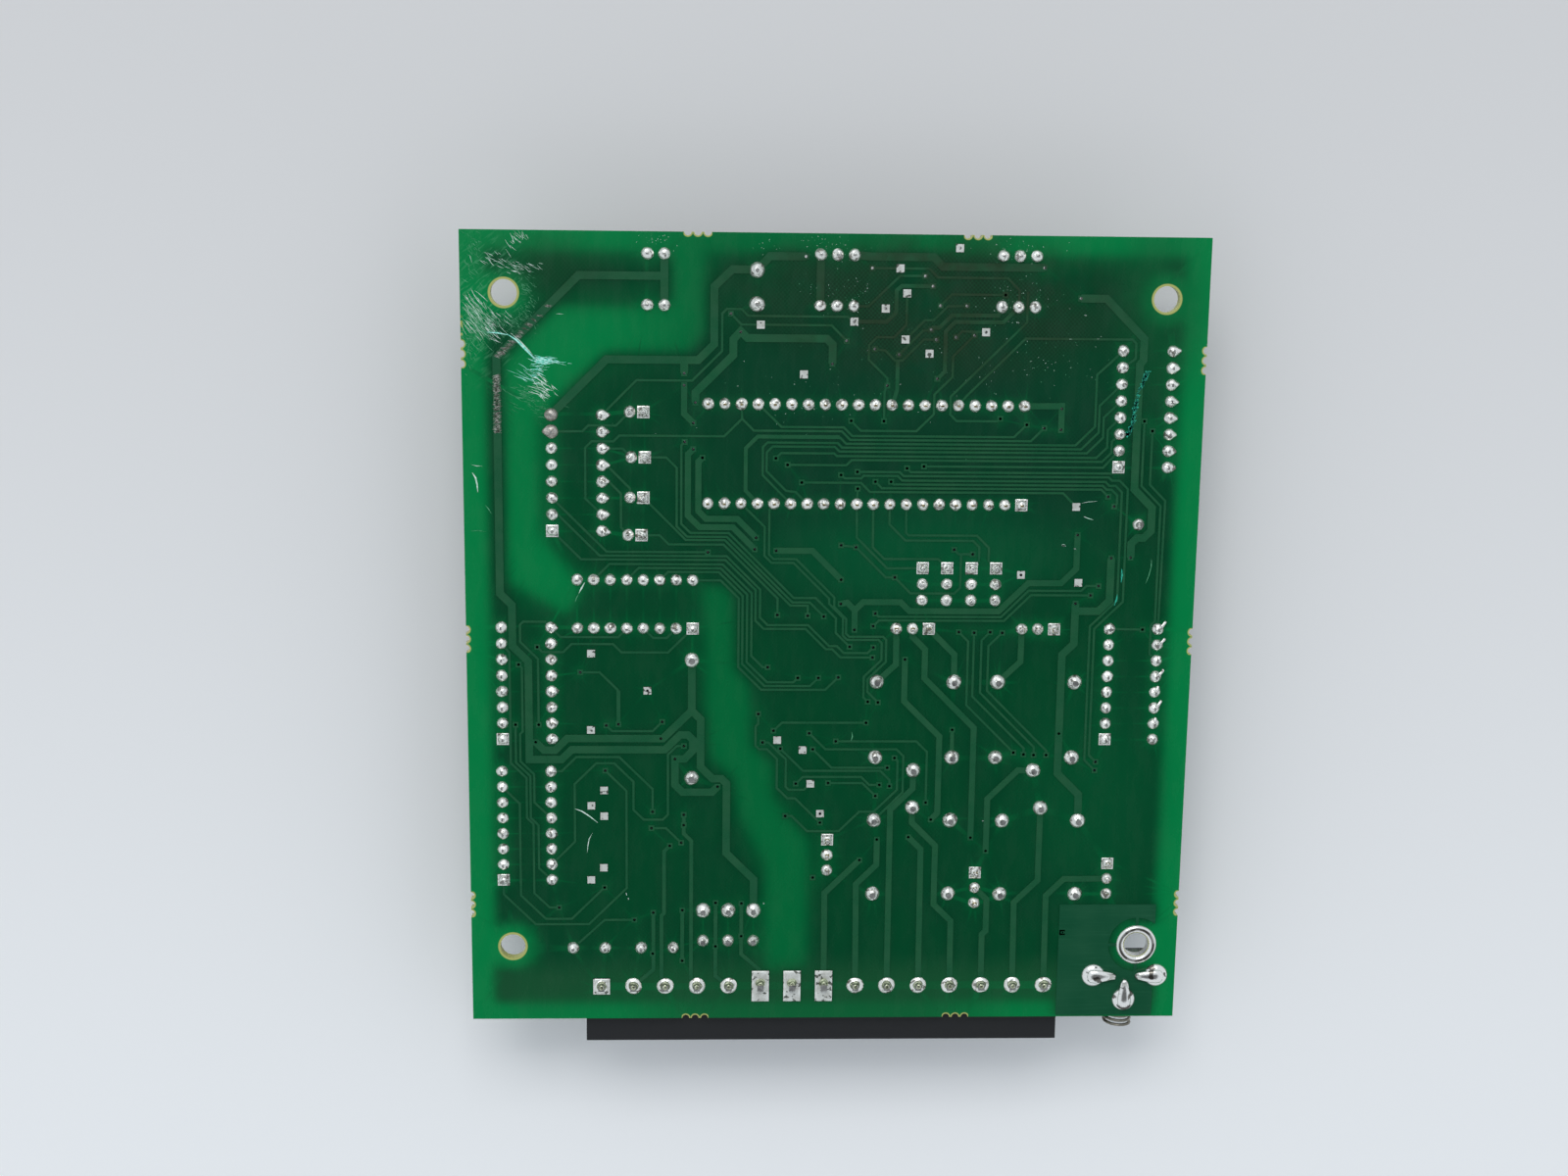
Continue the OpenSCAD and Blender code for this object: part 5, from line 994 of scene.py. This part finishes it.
# Specks of flux near the pins at the top edge, and stray ones: place, spread, how many
flux_specks = (
    (-27.3, 59.8, 1.3, 34), (0.0, 58.6, 3.0, 60), (-10.5, 58.6, 1.4, 16), (0.0, 51.8, 3.4, 70),
    (28.0, 59.0, 3.0, 60), (28.0, 51.5, 3.4, 60), (14.0, 40.0, 9.0, 50), (33.0, 42.0, 5.0, 60),
    (-8.0, 36.0, 7.0, 40),
)
speck_limit = 60.4
# Bright specks: place, size
bright_specks = (
    (35.7, 13.6, 0.5), (37.5, 13.1, 0.25), (27.4, 47.8, 0.3), (37.6, 49.0, 0.25), (-10.1, -44.4, 0.2),
    (24.5, -30.7, 0.2), (35.5, 45.4, 0.2), (39.7, 45.5, 0.2), (-51.8, 46.4, 0.25),
)


def stroke_patches(shape):
    for (x, y), (sx, sy), angle, turn, count, length, width, finish in scuffed:
        shape.mark = finish
        for _ in range(int(strokes_each * count)):
            place = (max(left_limit, rng.gauss(x, sx)), rng.gauss(y, sy))
            if math.hypot(place[0] + hole_x, place[1] - hole_y) < hole_r + hole_margin:
                continue
            scratch(shape, place, length * rng.uniform(0.4, 1.3), rng.gauss(angle, turn),
                    width * rng.uniform(0.3, 0.75), on_mask + rng.uniform(0, 0.01))


def teal_smear(shape):
    shape.mark = 3
    for (ax, ay), (bx, by) in zip(smear_path, smear_path[1:]):
        for _ in range(smear_dots):
            t = rng.random()
            spot = (ax + (bx - ax) * t + rng.gauss(0, 0.16), ay + (by - ay) * t + rng.gauss(0, 0.1))
            scratch(shape, spot, rng.uniform(0.15, 0.5), rng.uniform(50, 90),
                    rng.uniform(0.08, 0.22), on_track)


def specks(shape):
    for x, y, spread, count in flux_specks:
        for _ in range(count):
            spot = (rng.gauss(x, spread), rng.gauss(y, 0.5 * spread))
            shape.mark = rng.choice((0, 2))
            if spot[1] < speck_limit:
                scratch(shape, spot, rng.uniform(0.05, 0.16), rng.uniform(0, 180),
                        rng.uniform(0.04, 0.09), on_mask)
    shape.mark = 0
    for x, y, size in bright_specks:
        for _ in range(5):
            scratch(shape, (x + rng.gauss(0, 0.2 * size), y + rng.gauss(0, 0.15 * size)), size,
                    rng.uniform(-50, 0), 0.45 * size, on_track)


def rubbed_track():
    shape = Shape()
    for place, angle, length in track_rubs:
        for _ in range(5):
            spot = (place[0] + rng.gauss(0, 0.12), place[1] + rng.gauss(0, 0.09))
            scratch(shape, spot, length * rng.uniform(0.5, 0.95), angle + rng.gauss(0, 5),
                    rng.uniform(0.03, 0.09), on_track)
    rubbed = scuff_material("rubbed_copper", srgb(186, 186, 176), srgb(96, 98, 84))
    shape.piece("rubbed_track", [rubbed], "masked_copper", smooth=False)


def wear():
    pale = scuff_material("scuff_pale", srgb(238, 250, 242), srgb(172, 216, 190))
    cyan = scuff_material("scuff_cyan", srgb(190, 252, 238), srgb(110, 222, 196))
    green = scuff_material("scuff_green", srgb(112, 192, 146), srgb(66, 146, 102))
    teal = scuff_material("scuff_teal", srgb(34, 184, 152), srgb(26, 138, 114))
    shape = Shape()
    stroke_patches(shape)
    for points, width, finish in single_scratches:
        shape.mark = finish
        shape.stroke(points, width, on_track)
    teal_smear(shape)
    specks(shape)
    shape.piece("scuffs", [pale, cyan, green, teal], "laminate", smooth=False)
    rubbed_track()


wear()


# ---- Floor, light and camera ----
floor_half = 3.0


def floor_material():
    g = Graph("floor_paint")
    # painted light: the floor is painted lighter towards negative y, standing in for uneven light on an even
    # floor
    painted_light_share = g.steps(g.y, 140, -150)
    g.set(Base_Color=g.mix(painted_light_share, srgb(222, 220, 219), srgb(255, 255, 255)), Roughness=0.55)
    return g.material


def add_floor():
    mesh = bpy.data.meshes.new("floor")
    corners = [(sx * floor_half, sy * floor_half, cad_low.z)
               for sx, sy in ((-1, -1), (1, -1), (1, 1), (-1, 1))]
    mesh.from_pydata(corners, [], [(0, 1, 2, 3)])
    floor = bpy.data.objects.new("floor", mesh)
    bpy.context.scene.collection.objects.link(floor)
    dress(floor, floor_material())


def area_light(name, place, aim, size, power):
    data = bpy.data.lights.new(name, "AREA")
    data.shape = "RECTANGLE"
    data.size, data.size_y = size
    data.energy = power
    light = bpy.data.objects.new(name, data)
    light.location = place
    light.rotation_euler = (Vector(aim) - Vector(place)).to_track_quat("-Z", "Y").to_euler()
    bpy.context.scene.collection.objects.link(light)


# The dark patch of ceiling: its direction, degrees out to where it starts and ends to fade, strengths
dark_toward = Vector((0.10, -0.25, 0.963)).normalized()
dark_fade = (17, 30)
dark_strength = 0.04
room_strength = 0.78


def studio_world():
    """A bright pale room with a dark patch of ceiling, which the glossy mask mirrors."""
    world = bpy.data.worlds.new("studio")
    world.use_nodes = True
    tree = world.node_tree
    background = tree.nodes["Background"]
    coords = tree.nodes.new("ShaderNodeTexCoord")
    dot = tree.nodes.new("ShaderNodeVectorMath")
    dot.operation = "DOT_PRODUCT"
    dot.inputs[1].default_value = dark_toward
    tree.links.new(coords.outputs["Generated"], dot.inputs[0])
    fade = tree.nodes.new("ShaderNodeMapRange")
    fade.interpolation_type = "SMOOTHSTEP"
    for key, value in (("From Min", math.cos(math.radians(dark_fade[0]))),
                       ("From Max", math.cos(math.radians(dark_fade[1]))),
                       ("To Min", dark_strength), ("To Max", room_strength)):
        fade.inputs[key].default_value = value
    tree.links.new(dot.outputs["Value"], fade.inputs["Value"])
    tree.links.new(fade.outputs[0], background.inputs["Strength"])
    background.inputs["Color"].default_value = (0.86, 0.93, 1.0, 1)
    bpy.context.scene.world = world


add_floor()
area_light("ceiling", (-0.25, 1.5, 1.6), (0, 0, 0), (1.4, 0.8), 16)
studio_world()
bpy.context.scene.view_settings.view_transform = "Standard"

# The camera as fitted to the pins in the photo
camera_place = Vector((-19.745, 63.444, 297.208)) * mm
camera_right = Vector((0.9991748, 0.0119600, 0.0388155))
camera_down = Vector((0.0044722, -0.9822483, 0.1875321))
camera_forward = camera_right.cross(camera_down)
camera_data = bpy.data.cameras.new("camera")
camera_data.sensor_width = 36
camera_data.lens = 45
camera_data.clip_start = 0.01
camera = bpy.data.objects.new("camera", camera_data)
turn = Matrix((camera_right, -camera_down, -camera_forward)).transposed()
camera.matrix_world = Matrix.Translation(camera_place) @ turn.to_4x4()
bpy.context.scene.collection.objects.link(camera)
bpy.context.scene.camera = camera
